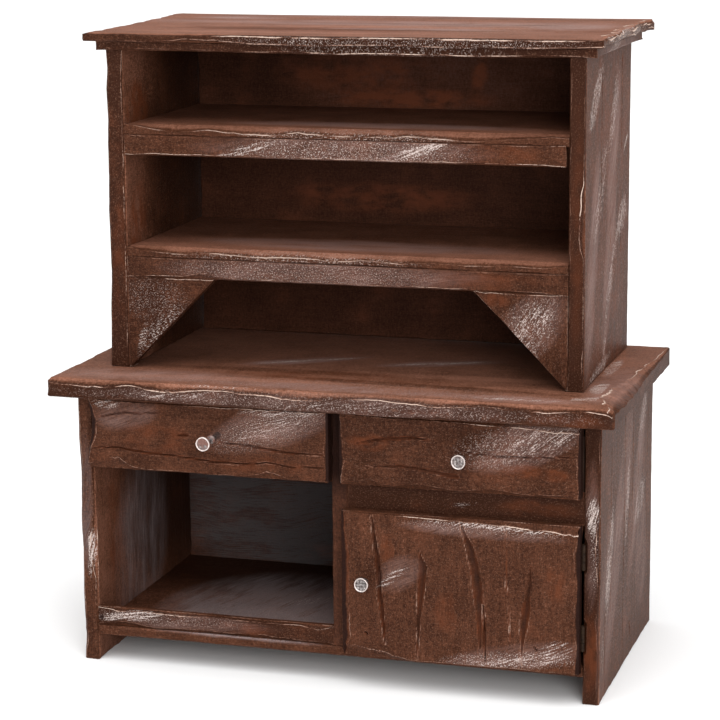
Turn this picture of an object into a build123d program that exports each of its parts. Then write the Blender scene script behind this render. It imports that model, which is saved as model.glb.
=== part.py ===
from build123d import *
import os

# A small rustic kitchen dresser in painted wood: a base cabinet with two drawers, an open bay and a
# hinged door, and a shelf hutch standing on its worktop. Millimetres, +Z up, doors and drawers on -Y.
# Every place below is given from the front face of the base sides (y = 0), the middle of the
# dresser (x = 0) and the surface it stands on (z = 0). placed() moves that to the part's origin.

# Base cabinet
PANEL = 4.0
BASE_HALF_WIDTH = 66.0
BASE_DEPTH = 68.0
BASE_TOP = 69.0
BASE_BACK_THICKNESS = 3.0
FLOOR_BOTTOM = 6.8
FLOOR_THICKNESS = 2.5
LIP_HEIGHT = 4.7
LIP_THICKNESS = 2.5
DIVIDER_LEFT = 0.0
DUST_BOARD_TOP = 52.2
DUST_BOARD_THICKNESS = 1.6
DUST_BOARD_SETBACK = 0.5
MID_RAIL_BOTTOM = 44.0
WORKTOP_HALF_WIDTH = 70.0
WORKTOP_THICKNESS = 5.0
WORKTOP_FRONT = -7.0
WORKTOP_BACK = 68.5
WORKTOP_CORNER = 1.6

# Shelf hutch
HUTCH_HALF_WIDTH = 59.5
HUTCH_FRONT = 10.0
HUTCH_BACK = 65.0
HUTCH_TOP = 152.8
HUTCH_BACK_THICKNESS = 3.0
SHELF_THICKNESS = 2.5
RAIL_HEIGHT = 4.9
RAIL_THICKNESS = 2.5
RAIL_PROUD = 0.4
UPPER_SHELF_TOP = 134.6
LOWER_SHELF_TOP = 104.4
GUSSET_WIDTH = 22.6
GUSSET_THICKNESS = 4.0
GUSSET_PROUD = 0.2
CORNICE_LOWER_HALF_WIDTH = 62.0
CORNICE_LOWER_FRONT = 9.0
CORNICE_LOWER_BACK = 66.0
CORNICE_LOWER_THICKNESS = 2.1
CORNICE_TOP_HALF_WIDTH = 64.4
CORNICE_TOP_FRONT = 7.5
CORNICE_TOP_BACK = 70.0
CORNICE_TOP_THICKNESS = 1.7

# Drawers and door
FRONT_THICKNESS = 3.5
FRONT_GAP = 0.2
DRAWER_FRONT_BOTTOM = 51.0
DRAWER_FRONT_TOP = 68.6
LEFT_FRONT_X = (-61.7, 0.2)
RIGHT_FRONT_X = (3.0, 61.7)
BOX_SIDE_GAP = 0.4
BOX_UNDER_GAP = 0.3
BOX_WALL = 2.0
BOX_FLOOR = 1.5
BOX_HEIGHT = 13.0
BOX_BACK = 62.0
DOOR_X = (3.3, 61.7)
DOOR_Z = (8.2, 44.6)

# Knobs: flat-headed nails that stand out of the fronts
SHANK_RADIUS = 0.8
HEAD_RADIUS = 1.8
HEAD_THICKNESS = 0.8
COLLAR_RADIUS = 1.25
COLLAR_THICKNESS = 0.5
NAIL_IN_WOOD = 3.0
LEFT_KNOB = (-27.5, 61.4, 8.3)
RIGHT_KNOB = (33.3, 59.4, 3.6)
DOOR_KNOB = (9.3, 27.5, 3.6)

# Butt hinges in the corner between door and right side
PIVOT_X = 61.9
PIVOT_Y = -0.1
KNUCKLE_RADIUS = 0.55
BORE_RADIUS = 0.28
PIN_RADIUS = 0.25
PIN_CAP_RADIUS = 0.4
PIN_CAP = 0.2
LEAF_THICKNESS = 0.3
LEAF_LENGTH = 5.0
HINGE_HEIGHT = 6.0
KNUCKLE_GAP = 0.1
HINGE_BOTTOMS = {"lower": 13.5, "upper": 33.5}
NOTCH_REACH = 0.72
TACK_RADIUS = 0.25
TACK_HEAD_RADIUS = 0.45
TACK_HEAD = 0.25
TACK_LENGTH = 2.2
TACK_SHARES = (0.25, 0.75)  # of the hinge's height

# Assembly brads, driven below the surface and filled over
BRAD_RADIUS = 0.4
BRAD_LENGTH = 9.0
BRAD_HEAD_RADIUS = 0.7
BRAD_HEAD = 0.4
BRAD_DEPTH = 0.6
BASE_BRAD_Y = (14.0, 54.0)
HUTCH_BRAD_Y = (22.0, 50.0)

# Holes for nails, tacks and brads are this much larger all round
HOLE_EASE = 0.02

# Worked out from the driving dimensions
BASE_INSIDE = BASE_HALF_WIDTH - PANEL
BASE_BACK_FACE = BASE_DEPTH - BASE_BACK_THICKNESS
FLOOR_TOP = FLOOR_BOTTOM + FLOOR_THICKNESS
DIVIDER_RIGHT = DIVIDER_LEFT + PANEL
DUST_BOARD_BOTTOM = DUST_BOARD_TOP - DUST_BOARD_THICKNESS
WORKTOP_TOP = BASE_TOP + WORKTOP_THICKNESS
HUTCH_INSIDE = HUTCH_HALF_WIDTH - PANEL
HUTCH_BACK_FACE = HUTCH_BACK - HUTCH_BACK_THICKNESS
CORNICE_MIDDLE = HUTCH_TOP + CORNICE_LOWER_THICKNESS
CORNICE_TOP = CORNICE_MIDDLE + CORNICE_TOP_THICKNESS
FRONT_BACK_FACE = -FRONT_GAP
FRONT_FACE = FRONT_BACK_FACE - FRONT_THICKNESS
FOREMOST_Y = FRONT_FACE - LEFT_KNOB[2]
ORIGIN_Y = (FOREMOST_Y + CORNICE_TOP_BACK) / 2

FRONT_OUT = Rotation(90, 0, 0)
BACK_OUT = Rotation(-90, 0, 0)
LEFTWARD = Rotation(0, -90, 0)
RIGHTWARD = Rotation(0, 90, 0)
DOWNWARD = Rotation(180, 0, 0)


def board(x, y, z):
    """A rectangular board between its limits on each axis."""
    size = (x[1] - x[0], y[1] - y[0], z[1] - z[0])
    return Pos(x[0], y[0], z[0]) * Box(*size, align=Align.MIN)


def rod(radius, low, high):
    """A round bar along +Z between two heights."""
    return Pos(0, 0, low) * Cylinder(radius, high - low, align=(Align.CENTER, Align.CENTER, Align.MIN))


def base_sides():
    depth = (0, BASE_DEPTH)
    height = (0, BASE_TOP)
    right = board((BASE_INSIDE, BASE_HALF_WIDTH), depth, height)
    for bottom in HINGE_BOTTOMS.values():
        right -= hinge_notch(bottom)
    return {
        "base_side_left": board((-BASE_HALF_WIDTH, -BASE_INSIDE), depth, height),
        "base_side_right": right,
    }


def base_inside():
    bay_left = (-BASE_INSIDE, DIVIDER_LEFT)
    bay_right = (DIVIDER_RIGHT, BASE_INSIDE)
    full = (-BASE_INSIDE, BASE_INSIDE)
    shelf_depth = (DUST_BOARD_SETBACK, BASE_BACK_FACE)
    shelf_height = (DUST_BOARD_BOTTOM, DUST_BOARD_TOP)
    lip_top = FLOOR_TOP + LIP_HEIGHT
    return {
        "base_floor": board(full, (0, BASE_BACK_FACE), (FLOOR_BOTTOM, FLOOR_TOP)),
        "base_lip_rail": board(bay_left, (0, LIP_THICKNESS), (FLOOR_TOP, lip_top)),
        "base_divider": board((DIVIDER_LEFT, DIVIDER_RIGHT), (0, BASE_BACK_FACE), (FLOOR_TOP, BASE_TOP)),
        "base_back_panel": board(full, (BASE_BACK_FACE, BASE_DEPTH), (FLOOR_BOTTOM, BASE_TOP)),
        "drawer_shelf_left": board(bay_left, shelf_depth, shelf_height),
        "drawer_shelf_right": board(bay_right, shelf_depth, shelf_height),
        "mid_rail": board(bay_right, (0, PANEL), (MID_RAIL_BOTTOM, DUST_BOARD_BOTTOM)),
    }


def worktop():
    width = (-WORKTOP_HALF_WIDTH, WORKTOP_HALF_WIDTH)
    slab = board(width, (WORKTOP_FRONT, WORKTOP_BACK), (BASE_TOP, WORKTOP_TOP))
    upright = slab.edges().filter_by(Axis.Z)
    front_corners = upright.sort_by(Axis.Y)[:2]
    return {"worktop": fillet(front_corners, WORKTOP_CORNER)}


def hutch_frame():
    depth = (HUTCH_FRONT, HUTCH_BACK)
    height = (WORKTOP_TOP, HUTCH_TOP)
    inside = (-HUTCH_INSIDE, HUTCH_INSIDE)
    lower = (-CORNICE_LOWER_HALF_WIDTH, CORNICE_LOWER_HALF_WIDTH)
    lower_depth = (CORNICE_LOWER_FRONT, CORNICE_LOWER_BACK)
    top = (-CORNICE_TOP_HALF_WIDTH, CORNICE_TOP_HALF_WIDTH)
    return {
        "hutch_side_left": board((-HUTCH_HALF_WIDTH, -HUTCH_INSIDE), depth, height),
        "hutch_side_right": board((HUTCH_INSIDE, HUTCH_HALF_WIDTH), depth, height),
        "hutch_back_panel": board(inside, (HUTCH_BACK_FACE, HUTCH_BACK), height),
        "cornice_lower": board(lower, lower_depth, (HUTCH_TOP, CORNICE_MIDDLE)),
        "cornice_top": board(top, (CORNICE_TOP_FRONT, CORNICE_TOP_BACK), (CORNICE_MIDDLE, CORNICE_TOP)),
    }


def hutch_shelves():
    inside = (-HUTCH_INSIDE, HUTCH_INSIDE)
    rail_front = HUTCH_FRONT - RAIL_PROUD
    rail_depth = (rail_front, rail_front + RAIL_THICKNESS)
    made = {}
    for name, top in (("upper", UPPER_SHELF_TOP), ("lower", LOWER_SHELF_TOP)):
        under = top - SHELF_THICKNESS
        made[f"{name}_shelf"] = board(inside, (HUTCH_FRONT, HUTCH_BACK_FACE), (under, top))
        made[f"{name}_shelf_rail"] = board(inside, rail_depth, (under - RAIL_HEIGHT, under))
    return made


def gussets():
    """Triangular brackets under the lower shelf, their square corners up and outward."""
    high = LOWER_SHELF_TOP - SHELF_THICKNESS - RAIL_HEIGHT
    front = HUTCH_FRONT - GUSSET_PROUD
    made = {}
    for name, side in (("left", -1), ("right", 1)):
        outer = side * HUTCH_INSIDE
        inner = side * (HUTCH_INSIDE - GUSSET_WIDTH)
        outline = Polyline((outer, WORKTOP_TOP), (outer, high), (inner, high), close=True)
        face = Plane.XZ.offset(-front) * make_face(outline)
        made[f"gusset_{name}"] = extrude(face, GUSSET_THICKNESS, dir=(0, 1, 0))
    return made


def nail(reach):
    """A knob nail along +Z: its head stands out by reach above the wood at height 0."""
    middle = reach / 2
    body = rod(SHANK_RADIUS, -NAIL_IN_WOOD, reach)
    body += rod(HEAD_RADIUS, reach - HEAD_THICKNESS, reach)
    body += rod(COLLAR_RADIUS, middle - COLLAR_THICKNESS, middle)
    return body


def fitted_knob(front, place):
    """The front with its nail hole, and the nail."""
    x, z, reach = place
    at = Pos(x, FRONT_FACE, z) * FRONT_OUT
    hole = rod(SHANK_RADIUS + HOLE_EASE, -NAIL_IN_WOOD - HOLE_EASE, reach)
    return front - at * hole, at * nail(reach)


def drawer(name, front_x, bay, knob_place):
    """A box of thin boards behind an overlaid front, with its nail knob."""
    left = bay[0] + BOX_SIDE_GAP
    right = bay[1] - BOX_SIDE_GAP
    low = DUST_BOARD_TOP + BOX_UNDER_GAP
    height = (low, low + BOX_HEIGHT)
    between = (left + BOX_WALL, right - BOX_WALL)
    front = board(front_x, (FRONT_FACE, FRONT_BACK_FACE), (DRAWER_FRONT_BOTTOM, DRAWER_FRONT_TOP))
    front, handle = fitted_knob(front, knob_place)
    floor_depth = (FRONT_BACK_FACE, BOX_BACK - BOX_WALL)
    return {
        f"{name}_front": front,
        f"{name}_side_left": board((left, between[0]), (FRONT_BACK_FACE, BOX_BACK), height),
        f"{name}_side_right": board((between[1], right), (FRONT_BACK_FACE, BOX_BACK), height),
        f"{name}_back": board(between, (BOX_BACK - BOX_WALL, BOX_BACK), height),
        f"{name}_bottom": board(between, floor_depth, (low, low + BOX_FLOOR)),
        f"{name}_knob": handle,
    }


def door():
    panel = board(DOOR_X, (FRONT_FACE, FRONT_BACK_FACE), DOOR_Z)
    panel, handle = fitted_knob(panel, DOOR_KNOB)
    for bottom in HINGE_BOTTOMS.values():
        panel -= hinge_notch(bottom)
    return {"door_panel": panel, "door_knob": handle}


def hinge_notch(bottom):
    """The room that a hinge's knuckles take out of the two boards that meet at the pivot."""
    x = (PIVOT_X - NOTCH_REACH, PIVOT_X + NOTCH_REACH)
    y = (PIVOT_Y - NOTCH_REACH, PIVOT_Y + NOTCH_REACH)
    return board(x, y, (bottom - NOTCH_REACH, bottom + HINGE_HEIGHT + NOTCH_REACH))


def knuckle(low, high):
    return Pos(PIVOT_X, PIVOT_Y, 0) * rod(KNUCKLE_RADIUS, low, high)


def hinge(name, bottom):
    """A butt hinge: outer knuckles on the cabinet's leaf, the middle one on the door's."""
    third = HINGE_HEIGHT / 3
    top = bottom + HINGE_HEIGHT
    door_z = (bottom + third, top - third)
    bore = Pos(PIVOT_X, PIVOT_Y, 0) * rod(BORE_RADIUS, bottom, top)
    case_plate = board(
        (BASE_INSIDE - LEAF_THICKNESS, BASE_INSIDE),
        (PIVOT_Y + NOTCH_REACH, PIVOT_Y + LEAF_LENGTH),
        (bottom, top),
    )
    door_plate = board(
        (PIVOT_X - LEAF_LENGTH, PIVOT_X - NOTCH_REACH),
        (FRONT_BACK_FACE, FRONT_BACK_FACE + LEAF_THICKNESS),
        (bottom, top),
    )
    case_leaf = case_plate
    neck_x = (BASE_INSIDE - LEAF_THICKNESS, BASE_INSIDE)
    for low, high in ((bottom, door_z[0] - KNUCKLE_GAP), (door_z[1] + KNUCKLE_GAP, top)):
        neck = board(neck_x, (PIVOT_Y, PIVOT_Y + NOTCH_REACH), (low, high))
        case_leaf += neck
        case_leaf += knuckle(low, high)
    door_neck = board(
        (PIVOT_X - NOTCH_REACH, PIVOT_X),
        (FRONT_BACK_FACE, FRONT_BACK_FACE + LEAF_THICKNESS),
        door_z,
    )
    door_leaf = door_plate + door_neck + knuckle(*door_z)
    pin = rod(PIN_RADIUS, bottom, top) + rod(PIN_CAP_RADIUS, top, top + PIN_CAP)
    pin += rod(PIN_CAP_RADIUS, bottom - PIN_CAP, bottom)
    return {
        f"hinge_{name}_case_leaf": case_leaf - bore,
        f"hinge_{name}_door_leaf": door_leaf - bore,
        f"hinge_{name}_pin": Pos(PIVOT_X, PIVOT_Y, 0) * pin,
    }


def tack():
    """A hinge tack along +Z, its head's underside at height 0 and its shank below."""
    return rod(TACK_RADIUS, -TACK_LENGTH, 0) + rod(TACK_HEAD_RADIUS, 0, TACK_HEAD)


def tack_hole():
    return rod(TACK_RADIUS + HOLE_EASE, -TACK_LENGTH - HOLE_EASE, TACK_HEAD)


def hinge_tacks(one):
    """Two of the given shape at each leaf: one set in the case leaves, the other in the door leaves."""
    reach = (NOTCH_REACH + LEAF_LENGTH) / 2
    case_y = PIVOT_Y + reach
    door_x = PIVOT_X - reach
    case_set = []
    door_set = []
    for bottom in HINGE_BOTTOMS.values():
        for share in TACK_SHARES:
            height = bottom + share * HINGE_HEIGHT
            case_set.append(Pos(BASE_INSIDE - LEAF_THICKNESS, case_y, height) * LEFTWARD * one)
            door_set.append(Pos(door_x, FRONT_BACK_FACE + LEAF_THICKNESS, height) * BACK_OUT * one)
    return case_set, door_set


def brad(ease=0.0):
    """A brad along +Z, its head at the lower end and below the board's surface, or the hole for it."""
    shank = rod(BRAD_RADIUS + ease, BRAD_DEPTH - ease, BRAD_DEPTH + BRAD_LENGTH + ease)
    return shank + rod(BRAD_HEAD_RADIUS + ease, BRAD_DEPTH - ease, BRAD_DEPTH + BRAD_HEAD + ease)


def brads(one):
    """One of the given shape at each place where boards are nailed together."""
    hutch_x = HUTCH_HALF_WIDTH - PANEL / 2
    base_x = BASE_HALF_WIDTH - PANEL / 2
    divider_x = (DIVIDER_LEFT + DIVIDER_RIGHT) / 2
    floor_z = (FLOOR_BOTTOM + FLOOR_TOP) / 2
    placed_brads = []
    for y in BASE_BRAD_Y:
        for x in (-base_x, divider_x, base_x):
            placed_brads.append(Pos(x, y, WORKTOP_TOP) * DOWNWARD * one)
        placed_brads.append(Pos(-BASE_HALF_WIDTH, y, floor_z) * RIGHTWARD * one)
        placed_brads.append(Pos(BASE_HALF_WIDTH, y, floor_z) * LEFTWARD * one)
    for y in HUTCH_BRAD_Y:
        for x in (-hutch_x, hutch_x):
            placed_brads.append(Pos(x, y, BASE_TOP) * one)
            placed_brads.append(Pos(x, y, CORNICE_TOP) * DOWNWARD * one)
        for top in (UPPER_SHELF_TOP, LOWER_SHELF_TOP):
            z = top - SHELF_THICKNESS / 2
            placed_brads.append(Pos(-HUTCH_HALF_WIDTH, y, z) * RIGHTWARD * one)
            placed_brads.append(Pos(HUTCH_HALF_WIDTH, y, z) * LEFTWARD * one)
    return placed_brads


def drill(nodes, names, holes):
    """Cuts every hole out of those of the named boards that it enters."""
    for name in names:
        for hole in holes:
            nodes[name] = nodes[name] - hole


def placed(shape):
    return Pos(0, -ORIGIN_Y, 0) * shape


def dresser():
    nodes = {**base_sides(), **base_inside(), **worktop()}
    nodes |= {**hutch_frame(), **hutch_shelves(), **gussets()}
    nodes |= drawer("drawer_left", LEFT_FRONT_X, (-BASE_INSIDE, DIVIDER_LEFT), LEFT_KNOB)
    nodes |= drawer("drawer_right", RIGHT_FRONT_X, (DIVIDER_RIGHT, BASE_INSIDE), RIGHT_KNOB)
    nodes |= door()
    for name, bottom in HINGE_BOTTOMS.items():
        nodes |= hinge(name, bottom)
    case_tacks, door_tacks = hinge_tacks(tack())
    case_holes, door_holes = hinge_tacks(tack_hole())
    leaves = [f"hinge_{name}_{side}_leaf" for name in HINGE_BOTTOMS for side in ("case", "door")]
    drill(nodes, ["base_side_right", "door_panel", *leaves], case_holes + door_holes)
    held = ["worktop", "base_side_left", "base_side_right", "base_divider", "base_floor"]
    held += ["hutch_side_left", "hutch_side_right", "upper_shelf", "lower_shelf"]
    held += ["cornice_lower", "cornice_top"]
    drill(nodes, held, brads(brad(HOLE_EASE)))
    nodes["hinge_case_tacks"] = Compound(children=case_tacks)
    nodes["hinge_door_tacks"] = Compound(children=door_tacks)
    nodes["assembly_brads"] = Compound(children=brads(brad()))
    return nodes


os.makedirs("parts", exist_ok=True)
for node, shape in dresser().items():
    export_step(placed(shape), f"parts/{node}.step")
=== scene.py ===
import itertools
import math

import bpy
import numpy as np
from mathutils import Euler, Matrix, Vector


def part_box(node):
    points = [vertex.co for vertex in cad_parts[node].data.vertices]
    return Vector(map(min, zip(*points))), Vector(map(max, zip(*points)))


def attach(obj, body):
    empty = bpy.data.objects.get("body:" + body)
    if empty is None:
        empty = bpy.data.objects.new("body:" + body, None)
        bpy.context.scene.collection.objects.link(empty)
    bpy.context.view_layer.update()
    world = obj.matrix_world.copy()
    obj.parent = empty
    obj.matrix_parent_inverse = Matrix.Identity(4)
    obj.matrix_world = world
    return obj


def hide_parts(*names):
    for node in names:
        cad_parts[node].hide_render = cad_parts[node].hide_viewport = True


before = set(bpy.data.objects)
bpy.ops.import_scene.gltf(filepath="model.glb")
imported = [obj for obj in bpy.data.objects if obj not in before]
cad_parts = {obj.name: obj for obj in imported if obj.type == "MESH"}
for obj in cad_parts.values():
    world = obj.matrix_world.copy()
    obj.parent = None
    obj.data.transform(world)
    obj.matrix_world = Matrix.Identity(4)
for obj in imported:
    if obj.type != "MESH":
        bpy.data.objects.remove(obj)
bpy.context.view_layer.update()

# A small rustic kitchen dresser. Every board is a carved skin over its CAD board: arrises cut back
# unevenly, knife grooves, hollows, then dark paint rubbed with rust, haze and dry white, with light and
# shade painted in on lit tops, inner walls, recesses and gaps.
# Board work is in millimetres from the board's lowest corner. Places on a face are shares of its
# two sides, (across, up) for a front, (back, up) for a side and (across, back) for a top.

MM = 0.001
FACES = {
    "left": (0, 0),
    "right": (0, 1),
    "front": (1, 0),
    "back": (1, 1),
    "bottom": (2, 0),
    "top": (2, 1),
}
# The tone mark holds random tone and also painted light and shade; the dark mark holds dark paint and also painted
# shade.
MARKS = ("white", "haze", "rust", "salt", "dark", "edge", "tone")
BAND = 0.5
REACH = 6.0
WEAR_WIDTH = 0.16


# Repeatable noise

def hashed(cell, seed):
    """A repeatable number from 0 to 1 for each whole-number cell."""
    n = cell[:, 0] * 374761393 + cell[:, 1] * 668265263 + cell[:, 2] * 1274126177 + seed * 98764321
    n &= 0xFFFFFFFF
    n = ((n ^ (n >> 13)) * 1103515245) & 0xFFFFFFFF
    return ((n ^ (n >> 16)) & 0xFFFF) / 0xFFFF


def noise(points, size, seed):
    """Smooth noise from -1 to 1, with features about size across."""
    spot = points / np.asarray(size, float)
    cell = np.floor(spot).astype(np.int64)
    part = spot - cell
    part = part * part * (3 - 2 * part)
    total = np.zeros(len(points))
    for corner in itertools.product((0, 1), repeat=3):
        weight = np.where(corner, part, 1 - part).prod(axis=1)
        total += weight * hashed(cell + np.array(corner), seed)
    return 2 * total - 1


def ripple(line, size, seed):
    """Smooth noise from -1 to 1 along a line."""
    return noise(np.column_stack((line, line * 0, line * 0)), size, seed)


def along(profile, share):
    """A value for each share of a run: a constant, or a list of (share, value) joined by straight lines."""
    if isinstance(profile, (int, float)):
        return np.full_like(share, profile)
    shares, values = zip(*profile)
    return np.interp(share, shares, values)


def fade(distance, reach):
    return np.clip(1 - distance / reach, 0, 1)


# The carved board

def net_lines(size, band, step, extra):
    """Places of the net across a board: close beside both ends, then about step apart."""
    near = np.array((0.0, 0.5 * band, 0.85 * band, band, band + 0.15, band + 0.4))
    middle = size - 2 * near[-1]
    inner = near[-1] + np.linspace(0, middle, max(2, round(middle / step) + 1))
    fine = [at * size + side for at in extra for side in (-0.3, -0.12, 0.0, 0.12, 0.3)]
    return np.unique(np.round(np.concatenate((near, inner, size - near, fine)), 4))


def slid(gap, width, band, reach):
    """How far points beside an arris slide along their own face when it is cut back by width."""
    inside = width * (1 + np.clip(gap / band, 0, 1)) / 2
    outside = gap + (width - band) * fade(gap - band, reach)
    return np.where(gap < band, inside, outside) - gap


class Board:
    """The skin of one board as a net of points, to be cut, pressed and marked."""

    def __init__(self, node, step=0.6, grain="x", seed=1, scores=()):
        low, high = (np.array(corner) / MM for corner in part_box(node))
        self.node = node
        self.seed = seed
        self.low = low
        self.size = high - low
        self.band = np.minimum(BAND, 0.25 * self.size)
        extra = {1: scores}
        nets = [net_lines(self.size[a], self.band[a], step, extra.get(a, ())) for a in range(3)]
        inside = np.zeros([len(net) for net in nets], bool)
        inside[1:-1, 1:-1, 1:-1] = True
        self.number = np.cumsum(~inside).reshape(inside.shape) - 1
        places = np.nonzero(~inside)
        self.at = np.column_stack([net[place] for net, place in zip(nets, places)])
        self.move = np.zeros_like(self.at)
        self.cut = []
        self.marks = {mark: np.zeros(len(self.at)) for mark in MARKS}
        self.order = ["xyz".index(grain)] + [a for a in range(3) if a != "xyz".index(grain)]
        self.grain = self.at[:, self.order] + 37.0 * seed
        self.stroke = self.grain.copy()

    def depth(self, face):
        """How far each point lies behind a face."""
        axis, side = FACES[face]
        return self.size[axis] - self.at[:, axis] if side else self.at[:, axis]

    def on(self, face):
        return self.depth(face) < 1e-4

    def plane(self, face):
        """The two axes that a face spreads along."""
        return [a for a in range(3) if a != FACES[face][0]]

    def sink(self, face, amount):
        axis, side = FACES[face]
        self.move[:, axis] += -amount if side else amount

    def mark(self, name, amount):
        self.marks[name] = np.maximum(self.marks[name], amount)

    def tone(self, **amounts):
        """Lightens or darkens the paint on each named face, also to paint in light and shade."""
        for face, amount in amounts.items():
            self.marks["tone"] += amount * self.on(face)

    def bevel(self, face_a, face_b, width_a, width_b, wear=(0.7, 0.3), rough=0.2, facet=None):
        """Cuts an arris back by width_a down face_a and width_b across face_b, given along it."""
        self.cut.append({face_a, face_b})
        axis_a, axis_b = FACES[face_a][0], FACES[face_b][0]
        run = 3 - axis_a - axis_b
        share = self.at[:, run] / self.size[run]
        salt = self.seed * 31 + list(FACES).index(face_a) * 7 + list(FACES).index(face_b)
        coarse, fine = ripple(self.at[:, run], 2.6, salt), ripple(self.at[:, run], 1.0, salt + 3)
        jitter = 1 + rough * coarse + 0.5 * rough * fine
        wide_a = along(width_a, share) * jitter
        wide_b = along(width_b, share) * jitter
        gap_a, gap_b = self.depth(face_a), self.depth(face_b)
        band_a, band_b = self.band[axis_a], self.band[axis_b]
        reach_a = min(REACH, self.size[axis_a] - 2 * band_a)
        reach_b = min(REACH, self.size[axis_b] - 2 * band_b)
        near_a, near_b = fade(gap_a, reach_a), fade(gap_b, reach_b)
        both = near_a * near_b
        down = near_a * slid(gap_b, wide_a, band_b, reach_b)
        down += wide_a / 2 * (near_b * fade(gap_a, band_a) - both)
        over = near_b * slid(gap_a, wide_b, band_a, reach_a)
        over += wide_b / 2 * (near_a * fade(gap_b, band_b) - both)
        self.sink(face_b, down)
        self.sink(face_a, over)
        broken = np.clip(0.75 + 0.6 * ripple(self.at[:, run], 4.0, salt + 5), 0, 1)
        line_a = self.on(face_a) * fade(abs(gap_b - band_b), WEAR_WIDTH)
        line_b = self.on(face_b) * fade(abs(gap_a - band_a), WEAR_WIDTH)
        self.mark("edge", along(wear[0], share) * broken * line_a)
        self.mark("edge", along(wear[1], share) * broken * line_b)
        if facet:
            cut = (self.on(face_a) & (gap_b <= band_b)) | (self.on(face_b) & (gap_a <= band_a))
            self.mark(facet[0], along(facet[1], share) * cut)

    def soften(self, width=0.3, wear=(0.3, 0.15)):
        """Rubs every arris that isn't cut yet down a little."""
        for pair in itertools.combinations(FACES, 2):
            if FACES[pair[0]][0] != FACES[pair[1]][0] and set(pair) not in self.cut:
                self.bevel(*pair, width, width, wear=wear, rough=0.45)

    def press(self, face, run, profile, reach=5.0):
        """Pushes a face in along one axis by a profile in mm, fading out behind it."""
        axis = "xyz".index(run)
        share = self.at[:, axis] / self.size[axis]
        self.sink(face, fade(self.depth(face), reach) * along(profile, share))

    def hollow(self, face, amount, size, salt=0):
        """Leaves a face in shallow uneven hollows."""
        wave = 0.5 + 0.5 * noise(self.at + 11.3, size, self.seed * 13 + salt)
        thickness = self.size[FACES[face][0]]
        self.sink(face, amount * wave * fade(self.depth(face), 0.7 * thickness))

    def gouge(self, face, path, depth=0.6, dark=0.6, lips=0.32):
        """Cuts a tapering knife groove through (across, up, width) points."""
        plane = self.plane(face)
        wobble = 0.12 * noise(self.at, 1.7, self.seed + 77)
        spot = self.at[:, plane] + wobble[:, None]
        ratio = np.full(len(spot), 99.0)
        half = np.full(len(spot), 1.0)
        for start, end in zip(path, path[1:]):
            here = np.array(start[:2]) * self.size[plane]
            leg = np.array(end[:2]) * self.size[plane] - here
            part = np.clip((spot - here) @ leg / (leg @ leg), 0, 1)
            wide = (start[2] + (end[2] - start[2]) * part) / 2
            away = np.hypot(*(spot - here - part[:, None] * leg).T) / wide
            closer = away < ratio
            ratio[closer] = away[closer]
            half[closer] = wide[closer]
        widest = max(width for _, _, width in path) / 2
        share = (half / widest) ** 0.7
        behind = fade(self.depth(face), 0.7 * self.size[FACES[face][0]])
        self.sink(face, depth * share * np.clip(1 - ratio ** 2, 0, 1) * behind)
        skin = fade(self.depth(face), 0.8)
        # The groove floor is darkened: dark paint lying in the cut, and painted shade.
        self.mark("dark", dark * skin * np.clip(1.1 - 1.1 * ratio, 0, 1))
        self.mark("rust", 0.8 * skin * (ratio < 1))
        lip = np.exp(-(((ratio - 1.0) * half - 0.08) / 0.16) ** 2)
        torn = np.clip(0.6 + 0.6 * noise(self.at, 3.5, self.seed + 41), 0, 1)
        self.mark("edge", lips * skin * lip * torn)

    def paint(self, face, **marks):
        """Lays ovals of each mark on a face."""
        for mark, ovals in marks.items():
            for oval in ovals:
                self.brush(face, mark, *oval)

    def brush(self, face, mark, across, up, length, breadth, angle, strength):
        """Lays one oval, its length and breadth in mm, turned by an angle."""
        plane = self.plane(face)
        spot = self.at[:, plane] - np.array((across, up)) * self.size[plane]
        turn = math.radians(angle)
        lengthwise = spot @ np.array((math.cos(turn), math.sin(turn)))
        crosswise = spot @ np.array((-math.sin(turn), math.cos(turn)))
        oval = (2 * lengthwise / length) ** 2 + (2 * crosswise / breadth) ** 2
        amount = strength * np.clip(1.4 * (1 - oval), 0, 1) * fade(self.depth(face), 0.8)
        if mark == "tone":
            self.marks["tone"] += amount
        else:
            self.mark(mark, amount)

    def strokes(self, face, angle, sway=1.5, coarse=1.0):
        """Sets the direction of the brush on a face, gently swaying; coarse below 1 swells its marks."""
        plane = self.plane(face)
        turn = math.radians(angle)
        spot = (self.at + self.move)[:, plane] + sway * noise(self.at, 14.0, self.seed + 5)[:, None]
        lengthwise = spot @ np.array((math.cos(turn), math.sin(turn)))
        crosswise = spot @ np.array((-math.sin(turn), math.cos(turn)))
        there = self.on(face)
        brushed = np.column_stack((lengthwise, crosswise, self.depth(face))) + 53.0 * self.seed
        self.stroke[there] = coarse * brushed[there]
        self.grain[there] *= coarse

    def quads(self):
        made = []
        for axis, side in FACES.values():
            sheet = np.take(self.number, -1 if side else 0, axis=axis)
            ring = [sheet[:-1, :-1], sheet[1:, :-1], sheet[1:, 1:], sheet[:-1, 1:]]
            if (side == 1) == (axis == 1):
                ring.reverse()
            made.append(np.stack(ring, -1).reshape(-1, 4))
        return np.concatenate(made)

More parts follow.
